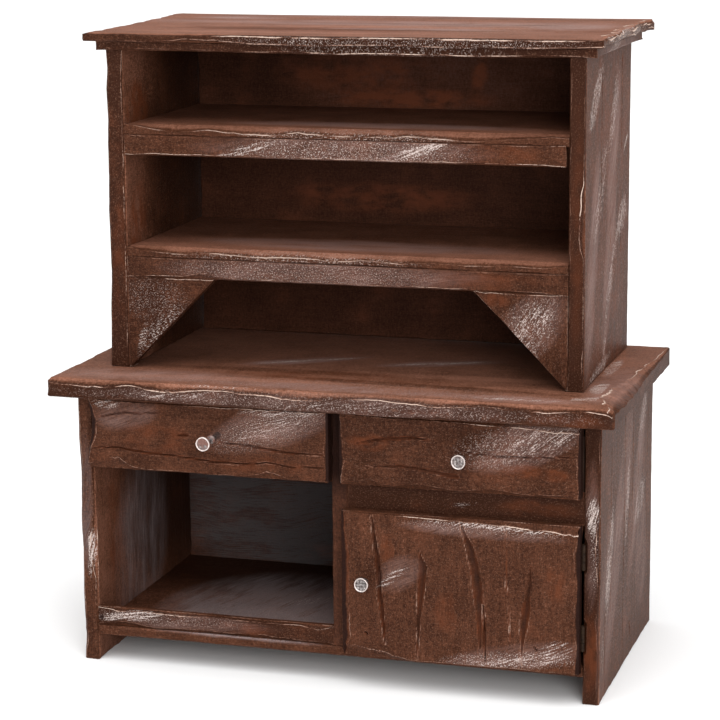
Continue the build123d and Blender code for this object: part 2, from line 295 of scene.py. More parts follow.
    def finish(self, material, slot, body):
        """Makes the board's object and sets it in place of its CAD node."""
        mesh = bpy.data.meshes.new(f"carved_{self.node}")
        points = (self.low + self.at + self.move) * MM
        mesh.from_pydata(points.tolist(), [], self.quads().tolist())
        # The second layer holds the dark marks (dark paint and painted shade), the worn edges, and tone (random
        # tone and painted light).
        for name, marks in (("paint", MARKS[:4]), ("wear", MARKS[4:] + MARKS[-1:])):
            colour = np.column_stack([self.marks[mark] for mark in marks])
            layer = mesh.attributes.new(name, "FLOAT_COLOR", "POINT")
            layer.data.foreach_set("color", colour.astype(np.float32).ravel())
        for name, values in (("grain", self.grain + self.move[:, self.order]), ("stroke", self.stroke)):
            layer = mesh.attributes.new(name, "FLOAT_VECTOR", "POINT")
            layer.data.foreach_set("vector", values.astype(np.float32).ravel())
        mesh.shade_smooth()
        mesh.set_sharp_from_angle(angle=math.radians(32))
        mesh.materials.append(material)
        piece = bpy.data.objects.new(f"carved_{self.node}", mesh)
        bpy.context.scene.collection.objects.link(piece)
        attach(piece, body)
        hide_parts(self.node)
        return piece


# Materials

class Nodes:
    """A material's node tree, built by short calls."""

    def __init__(self, name):
        self.material = bpy.data.materials.new(name)
        self.material.use_nodes = True
        self.tree = self.material.node_tree
        self.tree.nodes.clear()

    def add(self, kind, inputs=(), output=0, **settings):
        node = self.tree.nodes.new(kind)
        for name, value in settings.items():
            setattr(node, name, value)
        for key, value in dict(inputs).items():
            if isinstance(value, bpy.types.NodeSocket):
                self.tree.links.new(value, node.inputs[key])
            else:
                node.inputs[key].default_value = value
        return node.outputs[output] if node.outputs else None

    def calc(self, operation, a, b=0.0, clamp=False):
        return self.add("ShaderNodeMath", {0: a, 1: b}, operation=operation, use_clamp=clamp)

    def times(self, a, b, clamp=False):
        return self.calc("MULTIPLY", a, b, clamp)

    def plus(self, a, b):
        return self.calc("ADD", a, b)

    def total(self, *shares):
        """The sum of the textures, each given with its weight."""
        summed = None
        for texture, weight in shares:
            part = self.times(texture, weight)
            summed = part if summed is None else self.plus(summed, part)
        return summed

    def stretch(self, vector, scale):
        return self.add("ShaderNodeVectorMath", {0: vector, 1: scale}, operation="MULTIPLY")

    def speckle(self, vector, scale, detail=2.0, roughness=0.5):
        """Noise from 0 to 1 around 0.5, from a vector in millimetres."""
        return self.add(
            "ShaderNodeTexNoise",
            {"Vector": vector, "Scale": scale, "Detail": detail, "Roughness": roughness},
        )

    def ramp(self, value, low, high, to_low=0.0, to_high=1.0):
        inputs = {"Value": value, "From Min": low, "From Max": high, "To Min": to_low, "To Max": to_high}
        return self.add("ShaderNodeMapRange", inputs)

    def mix(self, share, under, over):
        inputs = {0: share, 6: under, 7: over}
        return self.add("ShaderNodeMix", inputs, output=2, data_type="RGBA")

    def split(self, attribute):
        colour = self.add("ShaderNodeAttribute", attribute_name=attribute)
        node = self.tree.nodes.new("ShaderNodeSeparateColor")
        self.tree.links.new(colour, node.inputs[0])
        return node.outputs[0], node.outputs[1], node.outputs[2]

    def vector(self, attribute):
        return self.add("ShaderNodeAttribute", output=1, attribute_name=attribute)

    def finish(self, colour, roughness, height, bump, metallic=0.0, **constants):
        normal = self.add("ShaderNodeBump", {"Height": height, "Distance": bump * MM, "Strength": 1.0})
        inputs = {"Base Color": colour, "Roughness": roughness, "Metallic": metallic, "Normal": normal}
        inputs.update({key.replace("_", " "): value for key, value in constants.items()})
        shader = self.add("ShaderNodeBsdfPrincipled", inputs)
        self.add("ShaderNodeOutputMaterial", {"Surface": shader})
        return self.material


PALETTE = {
    "dark": (0.030, 0.0100, 0.0050, 1),
    "mid": (0.085, 0.0310, 0.0160, 1),
    # light is the colour that tone lifts reach on lit tops and inner walls: painted light.
    "light": (0.340, 0.1500, 0.0980, 1),
    "pale": (0.26, 0.135, 0.090, 1),
    "rust": (0.125, 0.034, 0.013, 1),
    "haze": (0.30, 0.185, 0.162, 1),
    "white": (0.60, 0.505, 0.465, 1),
    "rubbed": (0.22, 0.11, 0.075, 1),
    "edge": (0.60, 0.46, 0.38, 1),
    "black": (0.012, 0.005, 0.004, 1),
}
# Paint for the boards inside the recesses: darker, with dimmer light and a grey haze, partly darker paint and
# partly painted shade of the recesses.
GLOOM = dict(
    PALETTE,
    dark=(0.034, 0.0125, 0.0070, 1),
    mid=(0.078, 0.0280, 0.0150, 1),
    light=(0.140, 0.0740, 0.0580, 1),
    pale=(0.12, 0.055, 0.035, 1),
    rust=(0.180, 0.0520, 0.0230, 1),
    haze=(0.100, 0.098, 0.102, 1),
)


def painted_wood(name, palette):
    """Dark paint over carved wood, rubbed with rust, a thin haze, salt and dry white, with light and shade painted
    in through the tone and dark marks.
    """
    n = Nodes(name)
    grain, stroke = n.vector("grain"), n.vector("stroke")
    white, haze, rust = n.split("paint")
    salty = n.add("ShaderNodeAttribute", output=3, attribute_name="paint")
    dark, edge, tone = n.split("wear")
    blotch = n.speckle(grain, 0.12, 3.0)
    cloud = n.speckle(n.stretch(grain, (0.5, 1.0, 1.0)), 0.35, 3.0, 0.6)
    fibre = n.speckle(n.stretch(grain, (0.08, 1.0, 1.0)), 1.0, 4.0, 0.65)
    fine = n.speckle(n.stretch(grain, (0.4, 1.0, 1.0)), 3.0, 3.0, 0.65)
    cross = n.speckle(n.stretch(grain, (1.0, 0.3, 0.3)), 2.6, 3.0, 0.65)
    streak = n.speckle(n.stretch(stroke, (0.05, 1.0, 1.0)), 3.4, 3.0, 0.7)
    wash = n.speckle(n.stretch(stroke, (0.25, 1.0, 1.0)), 0.25, 3.0)
    salt = n.speckle(n.stretch(stroke, (0.8, 1.0, 1.0)), 3.6, 2.0, 0.7)
    level = n.total((blotch, 1.3), (fibre, 1.1), (fine, 2.4), (cross, 1.8))
    level = n.plus(n.plus(level, -2.85), tone)
    colour = n.mix(n.ramp(level, -0.1, 1.0), palette["dark"], palette["mid"])
    # Tone above one reaches the light paint: painted light on lit tops and inner walls.
    colour = n.mix(n.ramp(level, 0.9, 3.0), colour, palette["light"])
    pale = n.times(n.ramp(salt, 0.56, 0.72), 0.38)
    colour = n.mix(pale, colour, palette["pale"])
    rusty = n.plus(rust, n.ramp(blotch, 0.56, 0.8, 0.0, 0.35))
    rusty = n.times(rusty, n.ramp(cloud, 0.36, 0.62), clamp=True)
    colour = n.mix(n.times(rusty, 0.75), colour, palette["rust"])
    veil = n.times(haze, n.ramp(streak, 0.34, 0.66, 0.2, 1.15))
    veil = n.times(veil, n.ramp(wash, 0.35, 0.65, 0.35, 1.1), clamp=True)
    colour = n.mix(n.times(veil, 0.62), colour, palette["haze"])
    grit = n.times(salty, n.ramp(salt, 0.55, 0.66))
    colour = n.mix(n.times(grit, 0.75, clamp=True), colour, palette["white"])
    dry = n.ramp(n.total((streak, 2.2), (salt, 1.7), (white, 0.55)), 2.3, 2.75)
    dry = n.times(dry, n.ramp(white, 0.02, 0.5))
    colour = n.mix(n.times(dry, 0.85), colour, palette["white"])
    # Dark marks go towards black: dark paint, and painted shade in grooves, gaps and recesses.
    shade = n.plus(dark, n.times(n.plus(fine, -0.5), 0.5))
    shade = n.times(shade, n.ramp(dark, 0.0, 0.25), clamp=True)
    colour = n.mix(n.times(shade, 0.93), colour, palette["black"])
    nick = n.times(edge, n.ramp(fine, 0.36, 0.58, 0.25, 1.3))
    worn = n.mix(n.ramp(edge, 0.3, 0.75), palette["rubbed"], palette["edge"])
    colour = n.mix(n.ramp(nick, 0.12, 0.55), colour, worn)
    roughness = n.plus(n.times(fine, 0.3), 0.34)
    height = n.total((fine, 0.8), (fibre, 0.9), (cross, 0.5))
    return n.finish(colour, roughness, height, 0.16, Specular_IOR_Level=0.04)


def bare_wood():
    """Unpainted softwood with darker rings along the grain, and near-black painted shade where marked dark."""
    n = Nodes("bare_drawer_wood")
    grain = n.vector("grain")
    ring = n.speckle(n.stretch(grain, (0.02, 0.55, 0.55)), 1.0, 3.0, 0.55)
    fibre = n.speckle(n.stretch(grain, (0.05, 1.0, 1.0)), 3.5, 4.0, 0.6)
    blotch = n.speckle(grain, 0.08, 2.0)
    colour = n.mix(n.ramp(ring, 0.38, 0.62), (0.46, 0.29, 0.15, 1), (0.30, 0.165, 0.075, 1))
    colour = n.mix(n.ramp(fibre, 0.5, 0.8, 0.0, 0.5), colour, (0.17, 0.085, 0.04, 1))
    colour = n.mix(n.ramp(blotch, 0.45, 0.8, 0.0, 0.5), colour, (0.24, 0.13, 0.07, 1))
    # Marked places go to the dark paint colour: painted shade.
    colour = n.mix(n.split("wear")[0], colour, PALETTE["dark"])
    roughness = n.plus(n.times(fibre, 0.2), 0.6)
    return n.finish(colour, roughness, fibre, 0.08)


def metal(name, bright, tarnish, shine):
    """Worn metal, tarnished in its hollows."""
    n = Nodes(name)
    place = n.stretch(n.add("ShaderNodeTexCoord", output=3), (1 / MM, 1 / MM, 1 / MM))
    fine = n.speckle(place, 2.4, 4.0, 0.65)
    blotch = n.speckle(place, 0.8, 2.0)
    spoiled = n.ramp(n.plus(fine, n.times(blotch, 0.6)), 0.72, 0.98)
    colour = n.mix(spoiled, bright, tarnish)
    metallic = n.times(n.calc("SUBTRACT", 1.0, n.times(spoiled, 0.7)), shine)
    roughness = n.plus(n.times(fine, 0.35), 0.22)
    return n.finish(colour, roughness, fine, 0.05, metallic=metallic, Specular_IOR_Level=0.5 * shine)


def knob_metal():
    """Silvered nail: a bright rubbed rim, dark hollows and brown paint smeared on the face."""
    n = Nodes("knob_metal")
    place = n.vector("grain")
    smear, hollow, rim = n.split("paint")
    fine = n.speckle(place, 1.9, 4.0, 0.6)
    blotch = n.speckle(place, 0.55, 2.0)
    colour = n.mix(n.ramp(fine, 0.35, 0.65), (0.40, 0.37, 0.36, 1), (0.09, 0.08, 0.078, 1))
    colour = n.mix(n.times(hollow, 0.85), colour, (0.03, 0.022, 0.02, 1))
    brown = n.times(smear, n.ramp(blotch, 0.35, 0.55), clamp=True)
    colour = n.mix(brown, colour, (0.15, 0.065, 0.048, 1))
    rubbed = n.times(rim, n.ramp(fine, 0.3, 0.6, 0.35, 1.0))
    colour = n.mix(rubbed, colour, (0.74, 0.64, 0.60, 1))
    metallic = n.calc("SUBTRACT", 0.85, n.times(brown, 0.8))
    roughness = n.plus(n.times(fine, 0.3), 0.25)
    return n.finish(colour, roughness, fine, 0.08, metallic=metallic)


def floor_material():
    n = Nodes("studio_floor")
    place = n.add("ShaderNodeTexCoord", output=3)
    cloud = n.speckle(place, 3.0, 2.0)
    colour = n.mix(cloud, (0.90, 0.90, 0.90, 1), (0.93, 0.93, 0.93, 1))
    return n.finish(colour, 0.9, cloud, 0.01)


PAINT = painted_wood("painted_wood", PALETTE)
INSIDE = painted_wood("dark_interior_wood", GLOOM)
# The bay's boards get a lighter grey haze, partly paint haze and partly painted light in the bay.
BAY = painted_wood("bay_wood", dict(PALETTE, haze=(0.265, 0.215, 0.215, 1)))
BARE = bare_wood()
KNOB = knob_metal()
STEEL = metal("nail_steel", (0.52, 0.50, 0.48, 1), (0.14, 0.11, 0.09, 1), 1.0)
# The hinges are nearly black: painted shade of the door gap they stand in.
BRASS = metal("hinge_brass", (0.030, 0.017, 0.010, 1), (0.012, 0.007, 0.005, 1), 0.15)


def paint_case(board):
    return board.finish(PAINT, "painted_wood", "case")


def paint_inside(board):
    return board.finish(INSIDE, "dark_interior_wood", "case")


def paint_bay(board):
    return board.finish(BAY, "painted_wood", "case")


# Boards of the base

def worktop():
    b = Board("worktop", 0.62, "x", 3)
    b.hollow("top", 0.35, (34, 9, 5))
    b.hollow("front", 0.3, (9, 5, 5), 2)
    front_cut = [
        (0, 1.15), (0.05, 1.45), (0.10, 1.75), (0.15, 0.65), (0.18, 1.6), (0.23, 1.9), (0.285, 0.95),
        (0.32, 0.85), (0.36, 1.3), (0.43, 1.95), (0.485, 2.1), (0.545, 1.15), (0.60, 0.7), (0.64, 1.2),
        (0.69, 1.6), (0.73, 1.5), (0.78, 0.8), (0.83, 1.25), (0.88, 1.45), (0.96, 0.6), (1, 1.15),
    ]
    lower_cut = [
        (0, 0.7), (0.08, 0.2), (0.17, 0.8), (0.25, 0.3), (0.33, 0.9), (0.42, 0.25), (0.5, 0.6),
        (0.6, 0.2), (0.7, 0.8), (0.78, 0.3), (0.88, 0.7), (0.95, 0.2), (1, 0.8),
    ]
    right_cut = [(0, 1), (0.1, 4), (0.25, 5.5), (0.45, 3), (0.6, 2.5), (0.8, 1), (1, 0.6)]
    b.bevel("front", "top", front_cut, 1.5, wear=(0.9, 0.2), rough=0.12)
    b.bevel("front", "bottom", lower_cut, 0.9, wear=(0.35, 0.1))
    b.press("left", "y", [(0, -1.1), (0.2, -0.9), (0.6, -0.5), (1, 0)])
    b.bevel("right", "top", [(0, 1.3), (0.3, 2.0), (0.6, 1.0), (1, 0.5)], right_cut, wear=(0.1, 0.9))
    b.bevel("left", "top", [(0, 0.8), (0.4, 1.3), (1, 0.6)], 0.9, wear=(0.8, 0.3))
    b.bevel("front", "left", 0.7, 0.9, wear=(0.4, 0.2))
    b.bevel("front", "right", 1.1, 1.4, wear=(0.15, 0.1))
    b.soften(0.4)
    b.strokes("top", 38)
    b.strokes("front", 12)
    b.strokes("right", 30)
    # The top is lifted, here and by the broad tone patches below, also under the hutch: painted light.
    b.tone(top=1.1, front=-0.7)
    b.paint(
        "top",
        tone=[
            (0.5, 0.05, 170, 24, 0, 0.2), (0.30, 0.13, 80, 5, 3, 0.5), (0.62, 0.19, 90, 5, -2, -0.6),
            (0.36, 0.30, 70, 6, 2, -0.5), (0.72, 0.35, 50, 6, 2, 0.5), (0.5, 0.7, 170, 50, 0, 0.6),
        ],
        haze=[
            (0.15, 0.12, 60, 16, 4, 0.8), (0.39, 0.475, 38, 8, 30, 1.4), (0.63, 0.54, 36, 8, 22, 1.3),
            (0.83, 0.07, 34, 9, 3, 1.3), (0.5, 0.08, 90, 9, 0, 0.9), (0.97, 0.35, 16, 46, 0, 1.0),
        ],
        white=[
            (0.39, 0.475, 34, 3, 30, 0.9), (0.63, 0.54, 32, 3, 22, 0.9), (0.83, 0.07, 26, 3, 3, 0.6),
            (0.945, 0.14, 12, 5, 25, 0.9), (0.945, 0.30, 6, 16, 0, 0.9), (0.935, 0.62, 4, 26, 0, 0.8),
            (0.30, 0.01, 30, 2, 0, 0.5),
        ],
        salt=[(0.5, 0.1, 150, 16, 0, 0.3)], rust=[(0.5, 0.25, 70, 16, 3, 0.5)],
    )
    b.paint(
        "front", salt=[(0.5, 0.5, 150, 6, 0, 0.45)], rust=[(0.93, 0.4, 22, 4, 0, 0.5)],
        white=[(0.22, 0.55, 26, 3.4, 4, 0.45), (0.52, 0.45, 36, 3.0, 0, 0.4)],
        haze=[(0.5, 0.5, 130, 6, 0, 0.4)],
    )
    b.paint("right", haze=[(0.5, 0.5, 70, 6, 0, 0.15)])
    b.gouge("front", [(0.62, 0.5, 0.3), (0.66, 0.42, 0.7), (0.70, 0.45, 0.3)], 0.3, 0.5)
    b.gouge("front", [(0.10, 0.35, 0.3), (0.16, 0.3, 0.6), (0.21, 0.36, 0.3)], 0.25, 0.5)
    paint_case(b)


def base_side_right():
    scores = (0.10, 0.195, 0.44, 0.60, 0.715, 0.91)
    b = Board("base_side_right", 0.6, "z", 5, scores)
    b.hollow("right", 0.25, (4, 12, 30))
    b.hollow("front", 0.35, (4, 4, 9), 2)
    hinge_room = [
        (0, 0.3), (0.176, 0.3), (0.186, 0.9), (0.293, 0.9), (0.303, 0.3),
        (0.466, 0.3), (0.476, 0.9), (0.583, 0.9), (0.593, 0.3), (1, 0.3),
    ]
    b.bevel("front", "left", hinge_room, hinge_room, wear=(0.3, 0.1), rough=0.03)
    arris = [
        (0, 0.9), (0.12, 0.5), (0.3, 0.9), (0.42, 0.5), (0.52, 1.2), (0.62, 0.9), (0.75, 0.4), (1, 0.5),
    ]
    worn = [(0, 0.3), (0.4, 0.35), (0.46, 1.0), (0.64, 1.0), (0.7, 0.5), (1, 0.4)]
    b.bevel("front", "right", arris, arris, wear=(worn, 0.5))
    b.soften(0.35)
    b.strokes("right", 62, 3, 0.65)
    b.strokes("front", 80)
    lines = [
        (0.44, 0.97, 0.01, 0.42), (0.60, 0.95, 0.54, 0.42), (0.60, 0.5, 0.3, 0.2), (0.195, 0.87, 0.55, 0.25),
        (0.195, 0.5, 0.28, 0.4), (0.10, 0.3, 0.02, 0.4), (0.91, 0.86, 0.3, 0.25), (0.715, 0.73, 0.65, 0.4),
    ]
    for back, top, bottom, width in lines:
        b.gouge("right", [(back, top, width), (back, bottom, width)], 0.22, 0.95, 0.25)
    b.gouge("right", [(0.57, 0.13, 0.3), (0.585, 0.10, 0.8), (0.60, 0.075, 0.3)], 0.4)
    for back in (0.44, 0.60):
        b.gouge("right", [(back, 0.985, 0.5), (back + 0.01, 0.955, 0.9), (back + 0.015, 0.93, 0.3)], 0.5)
    b.paint(
        "right",
        haze=[
            (0.35, 0.55, 80, 16, 62, 0.9), (0.7, 0.62, 60, 12, 66, 0.8), (0.12, 0.30, 50, 20, 80, 0.5),
            (0.8, 0.35, 34, 18, 90, 0.7),
        ],
    )
    b.press("back", "z", -0.5)
    b.paint(
        "right", salt=[(0.5, 0.5, 80, 80, 90, 0.25)],
        white=[
            (0.17, 0.47, 34, 8, 75, 0.8), (0.50, 0.60, 26, 6, 80, 0.7), (0.75, 0.54, 20, 12, 20, 0.65),
            (0.80, 0.86, 18, 9, 40, 0.65), (0.06, 0.17, 14, 4, 85, 0.5), (0.231, 0.258, 3.4, 0.9, 90, 1.2),
        ],
        tone=[(0.72, 0.44, 14, 10, 0, -0.2)],
    )
    b.paint(
        "front", white=[(0.6, 0.67, 11, 4, 90, 1.0)], salt=[(0.7, 0.55, 22, 3, 90, 0.7)],
        rust=[(0.5, 0.2, 24, 5, 90, 0.8)], haze=[(0.5, 0.6, 40, 4, 90, 0.4)],
    )
    b.tone(right=0.25, front=-0.7)
    paint_case(b)


def base_side_left():
    b = Board("base_side_left", 0.6, "z", 7)
    b.hollow("left", 0.25, (4, 12, 30))
    b.hollow("right", 0.2, (4, 16, 30), 1)
    b.hollow("front", 0.35, (4, 4, 9), 2)
    outer = [
        (0, 0.4), (0.1, 0.9), (0.25, 0.3), (0.42, 0.7), (0.55, 0.35), (0.7, 1.1), (0.85, 0.4), (1, 0.6),
    ]
    inner = [(0, 0.4), (0.2, 0.6), (0.3, 0.5), (0.4, 1.5), (0.47, 1.2), (0.56, 0.5), (0.8, 0.4), (1, 0.3)]
    worn = [(0, 0.2), (0.25, 0.4), (0.30, 0.9), (0.38, 1.0), (0.47, 1.0), (0.50, 0.4), (1, 0.3)]
    b.bevel("front", "left", outer, outer, wear=(0.6, 0.4))
    b.bevel("front", "right", inner, 0.8, wear=(worn, worn))
    b.soften(0.35)
    b.strokes("left", 60, 3)
    b.strokes("right", 85)
    b.strokes("front", 80)
    b.paint(
        "front", white=[(0.8, 0.42, 13, 2.8, 90, 1.0), (0.6, 0.34, 6, 1.2, 90, 0.8)],
        haze=[(0.4, 0.6, 40, 4, 90, 0.5)],
    )
    b.paint("right", rust=[(0.18, 0.45, 34, 12, 88, 0.8)], haze=[(0.45, 0.35, 60, 40, 80, 0.9)])
    b.paint(
        "left", haze=[(0.5, 0.6, 80, 50, 90, 0.8)],
        white=[(0.3, 0.55, 24, 4, 70, 0.45), (0.7, 0.75, 20, 6, 50, 0.45)],
    )
    # The inner face is lifted, then darkened towards the back of the bay: painted light and shade.
    b.tone(left=0.4, right=0.9)
    b.paint("right", tone=[(0.85, 0.6, 90, 80, 0, -1.4)], dark=[(0.95, 0.5, 50, 90, 0, 0.3)])
    paint_bay(b)


def base_floor():
    b = Board("base_floor", 0.9, "x", 9)
    b.hollow("top", 0.15, (24, 9, 4))
    b.soften(0.3)
    b.strokes("top", 75)
    # Haze and tone make the bay floor lighter near the open front and darker at the back: partly haze, partly
    # painted light and shade.
    b.paint(
        "top",
        haze=[(0.30, 0.35, 60, 70, 0, 2.2), (0.30, 0.2, 50, 30, 0, 3.0), (0.42, 0.45, 30, 50, 0, 3.0)],
        white=[(0.36, 0.50, 18, 7, 35, 0.45)], salt=[(0.3, 0.2, 50, 30, 0, 0.3)],
        tone=[(0.25, 0.3, 80, 60, 0, 0.65), (0.2, 0.95, 110, 50, 0, -1.0)],
    )
    paint_bay(b)


def base_lip_rail():
    b = Board("base_lip_rail", 0.45, "x", 11)
    b.hollow("front", 0.25, (9, 3, 3))
    upper = [
        (0, 0.4), (0.1, 0.8), (0.2, 0.3), (0.35, 0.7), (0.5, 0.3), (0.7, 0.6), (0.86, 0.3), (0.93, 1.2),
        (0.99, 0.4),
    ]
    lower = [
        (0, 0.6), (0.12, 1.2), (0.25, 0.4), (0.4, 1.0), (0.55, 0.5), (0.7, 1.1), (0.85, 0.5), (1, 0.8),
    ]
    worn = [(0, 1.0), (0.3, 0.9), (0.45, 0.5), (0.8, 0.5), (0.9, 0.9), (1, 0.5)]
    b.bevel("front", "top", upper, 0.8, wear=(worn, 0.5))
    b.bevel("front", "bottom", lower, 0.6, wear=(0.4, 0.1))
    b.soften(0.3)
    b.strokes("front", 8)
    b.paint(
        "front", white=[(0.14, 0.6, 20, 4, 6, 0.9)], salt=[(0.3, 0.6, 46, 4, 0, 0.4)],
        haze=[(0.4, 0.5, 50, 5, 0, 0.45)], dark=[(0.02, 0.4, 1.4, 1.6, 0, 1.0)],
        rust=[(0.6, 0.4, 24, 4, 0, 0.6)],
    )
    b.tone(front=-0.6)
    paint_case(b)


def base_divider():
    b = Board("base_divider", 0.8, "z", 13)
    b.hollow("front", 0.3, (4, 4, 8))
    b.soften(0.35)
    # Near-black where it shows between the drawer fronts: painted shade of the gap.
    b.paint("front", dark=[(0.5, 0.86, 30, 9, 90, 0.85)])
    b.tone(front=-0.15)
    paint_inside(b)


def base_back_panel():
    b = Board("base_back_panel", 1.0, "x", 15)
    b.hollow("back", 0.25, (30, 4, 9))
    b.soften(0.35)
    b.strokes("front", 4)
    b.strokes("back", 20)
    b.paint("front", haze=[(0.25, 0.45, 80, 80, 0, 2.2)], rust=[(0.36, 0.10, 30, 5, 0, 1.0)])
    b.paint(
        "back", haze=[(0.4, 0.5, 150, 80, 15, 0.35)], salt=[(0.55, 0.5, 110, 34, 18, 0.35)],
        white=[(0.6, 0.6, 60, 12, 20, 0.5), (0.25, 0.4, 40, 8, 15, 0.45)],
        rust=[(0.75, 0.35, 50, 20, 10, 0.7)],
    )
    b.tone(back=0.25)
    paint_inside(b)


def drawer_shelves():
    for node, seed in (("drawer_shelf_left", 17), ("drawer_shelf_right", 19)):
        b = Board(node, 0.9, "x", seed)
        b.soften(0.25)
        paint_inside(b)


def mid_rail():
    b = Board("mid_rail", 0.5, "x", 21)
    b.hollow("front", 0.25, (12, 3, 3))
    b.soften(0.35)
    b.strokes("front", 5)
    b.paint("front", white=[(0.51, 0.5, 9, 1.5, 3, 0.4)], rust=[(0.8, 0.5, 22, 5, 0, 0.5)])
    # The rail's front is darkened: painted shade under the drawer above.
    b.tone(front=-0.7)
    paint_case(b)


# Boards of the hutch

def hutch_side_left():
    b = Board("hutch_side_left", 0.62, "z", 23)
    b.hollow("left", 0.25, (4, 12, 30))
    b.hollow("front", 0.3, (4, 4, 8), 2)
    outer = [(0, 0.3), (0.17, 0.25), (0.3, 0.5), (0.4, 0.3), (0.5, 0.5), (0.6, 0.3), (0.8, 0.4), (1, 0.3)]
    bulge = [
        (0, -1.4), (0.08, -1.25), (0.2, -1.1), (0.3, -0.75), (0.4, -0.75), (0.5, -0.95), (0.6, -0.65),
        (0.7, -0.75), (0.78, -0.4), (0.88, -0.75), (0.94, -0.3), (1, -0.4),
    ]
    b.press("left", "z", bulge)
    b.bevel("front", "left", outer, outer, wear=(0.35, 0.35))
    b.bevel("front", "right", 0.4, 0.5, wear=(0.55, 0.2))
    b.soften(0.35)
    b.strokes("left", 60, 3)
    b.strokes("right", 80)
    b.strokes("front", 85)
    b.paint(
        "left", haze=[(0.5, 0.5, 90, 50, 90, 0.8)],
        white=[(0.3, 0.6, 26, 5, 60, 0.45), (0.7, 0.3, 24, 5, 65, 0.45)],
    )
    # The inner wall: rust patches by the open front are partly rust paint and partly painted light; the lift and
    # the darkening towards the back are painted light and shade.
    b.paint("right", rust=[(0.16, 0.80, 18, 16, 60, 1.4), (0.14, 0.45, 24, 12, 80, 1.1)])
    b.paint("front", rust=[(0.6, 0.35, 30, 4, 90, 0.5)])
    b.tone(left=0.2, right=0.85)
    b.paint("right", tone=[(0.80, 0.5, 70, 150, 0, -1.3)])
    b.tone(front=-0.6)
    paint_case(b)


def hutch_side_right():
    scores = (0.345, 0.56, 0.68, 0.80)
    b = Board("hutch_side_right", 0.62, "z", 25, scores)
    b.hollow("right", 0.25, (4, 12, 30))
    b.hollow("front", 0.3, (4, 4, 8), 2)
    arris = [
        (0, 0.3), (0.06, 0.7), (0.12, 0.3), (0.4, 0.35), (0.46, 1.5), (0.52, 1.2), (0.58, 1.0), (0.63, 0.4),
        (0.8, 0.3), (1, 0.35),
    ]
    worn = [(0, 0.5), (0.1, 0.8), (0.3, 0.5), (0.5, 0.6), (0.54, 1.2), (0.62, 1.2), (0.66, 0.4), (1, 0.4)]
    b.bevel("front", "right", arris, 0.7, wear=(worn, 0.4))
    b.bevel("front", "left", 0.35, 0.35, wear=(0.4, 0.1))
    b.soften(0.35)
    b.strokes("right", 56, 3, 0.65)
    b.strokes("front", 85)
    lines = [
        (0.345, 0.94, 0.58, 0.36), (0.80, 0.97, 0.67, 0.36), (0.80, 0.55, 0.34, 0.36),
        (0.68, 0.79, 0.61, 0.3), (0.56, 0.51, 0.30, 0.25),
    ]
    for back, top, bottom, width in lines:
        b.gouge("right", [(back, top, width), (back, bottom, width)], 0.22, 0.9, 0.35)
    b.paint(
        "right",
        haze=[(0.18, 0.36, 60, 13, 78, 0.95), (0.62, 0.7, 44, 12, 72, 0.9), (0.55, 0.35, 56, 12, 76, 0.9)],
    )
    b.press("back", "z", -0.5)
    b.paint(
        "right", salt=[(0.5, 0.5, 130, 90, 90, 0.15)],
        white=[
            (0.22, 0.865, 24, 8, 42, 0.8), (0.34, 0.58, 36, 10, 55, 0.55), (0.62, 0.80, 30, 8, 60, 0.55),
            (0.62, 0.32, 34, 6, 60, 0.6), (0.82, 0.45, 20, 10, 25, 0.7), (0.90, 0.68, 8, 1.2, 38, 1.2),
            (0.48, 0.126, 30, 4, 80, 0.45), (0.35, 0.02, 34, 4, 5, 0.8),
        ],
        tone=[(0.2, 0.95, 16, 12, 0, 0.05)], rust=[(0.5, 0.5, 150, 70, 90, 0.7)],
    )
    b.paint("front", rust=[(0.5, 0.5, 70, 4, 90, 0.3)])
    b.tone(right=0.2, front=-1.15)
    paint_case(b)


def hutch_back_panel():
    b = Board("hutch_back_panel", 1.0, "x", 27)
    b.hollow("back", 0.25, (30, 4, 9))
    b.soften(0.35)
    b.strokes("front", 4)
    b.strokes("back", 15)
    b.paint(
        "front",
        rust=[
            (0.40, 0.88, 50, 12, 0, 0.8), (0.69, 0.88, 12, 4, 80, 1.2), (0.52, 0.80, 50, 6, 0, 1.2),
            (0.45, 0.47, 60, 9, 0, 0.7),
        ],
        tone=[(0.55, 0.86, 90, 30, 0, 0.6), (0.2, 0.9, 40, 30, 0, -0.2)],
    )
    b.paint(
        "back", haze=[(0.5, 0.5, 170, 110, 15, 0.35)], salt=[(0.4, 0.55, 120, 50, 12, 0.35)],
        white=[(0.35, 0.7, 70, 12, 12, 0.5), (0.72, 0.35, 50, 10, 10, 0.45)],
        rust=[(0.3, 0.3, 60, 30, 10, 0.7)],
    )
    b.tone(back=0.25)
    paint_inside(b)


def upper_shelf():
    b = Board("upper_shelf", 0.6, "x", 29)
    b.hollow("top", 0.15, (26, 8, 4))
    cut = [
        (0, 0.1), (0.03, 0.3), (0.113, 1.7), (0.195, 0.9), (0.265, 1.5), (0.343, 1.9), (0.40, 0.9), (0.504, 1.8),
        (0.54, 1.5), (0.6, 1.8), (0.65, 1.1), (0.73, 1.6), (0.80, 2.0), (0.885, 1.1), (0.96, 0.5), (1, 0.9),
    ]
    shine = [(0, 0.3), (0.1, 0.7), (0.25, 0.7), (0.3, 1.0), (0.75, 1.0), (0.82, 0.5), (1, 0.4)]
    b.bevel("front", "top", cut, 3.2, wear=(shine, 0.1), rough=0.1)
    b.soften(0.25, wear=(0.3, 0.2))
    b.strokes("top", 4)
    b.strokes("front", 15)
    # The top's tone lifts, strongest along its front strip, are painted light.
    b.paint(
        "top", haze=[(0.55, 0.22, 84, 13, 0, 1.5)], tone=[(0.5, 0.1, 150, 26, 0, 0.4)],
        rust=[(0.5, 0.06, 100, 5, 0, 0.6)], salt=[(0.60, 0.22, 60, 9, 0, 0.35)],
    )
    b.paint("front", salt=[(0.52, 0.5, 62, 4, 0, 0.8)])
    b.tone(top=0.9)
    paint_case(b)


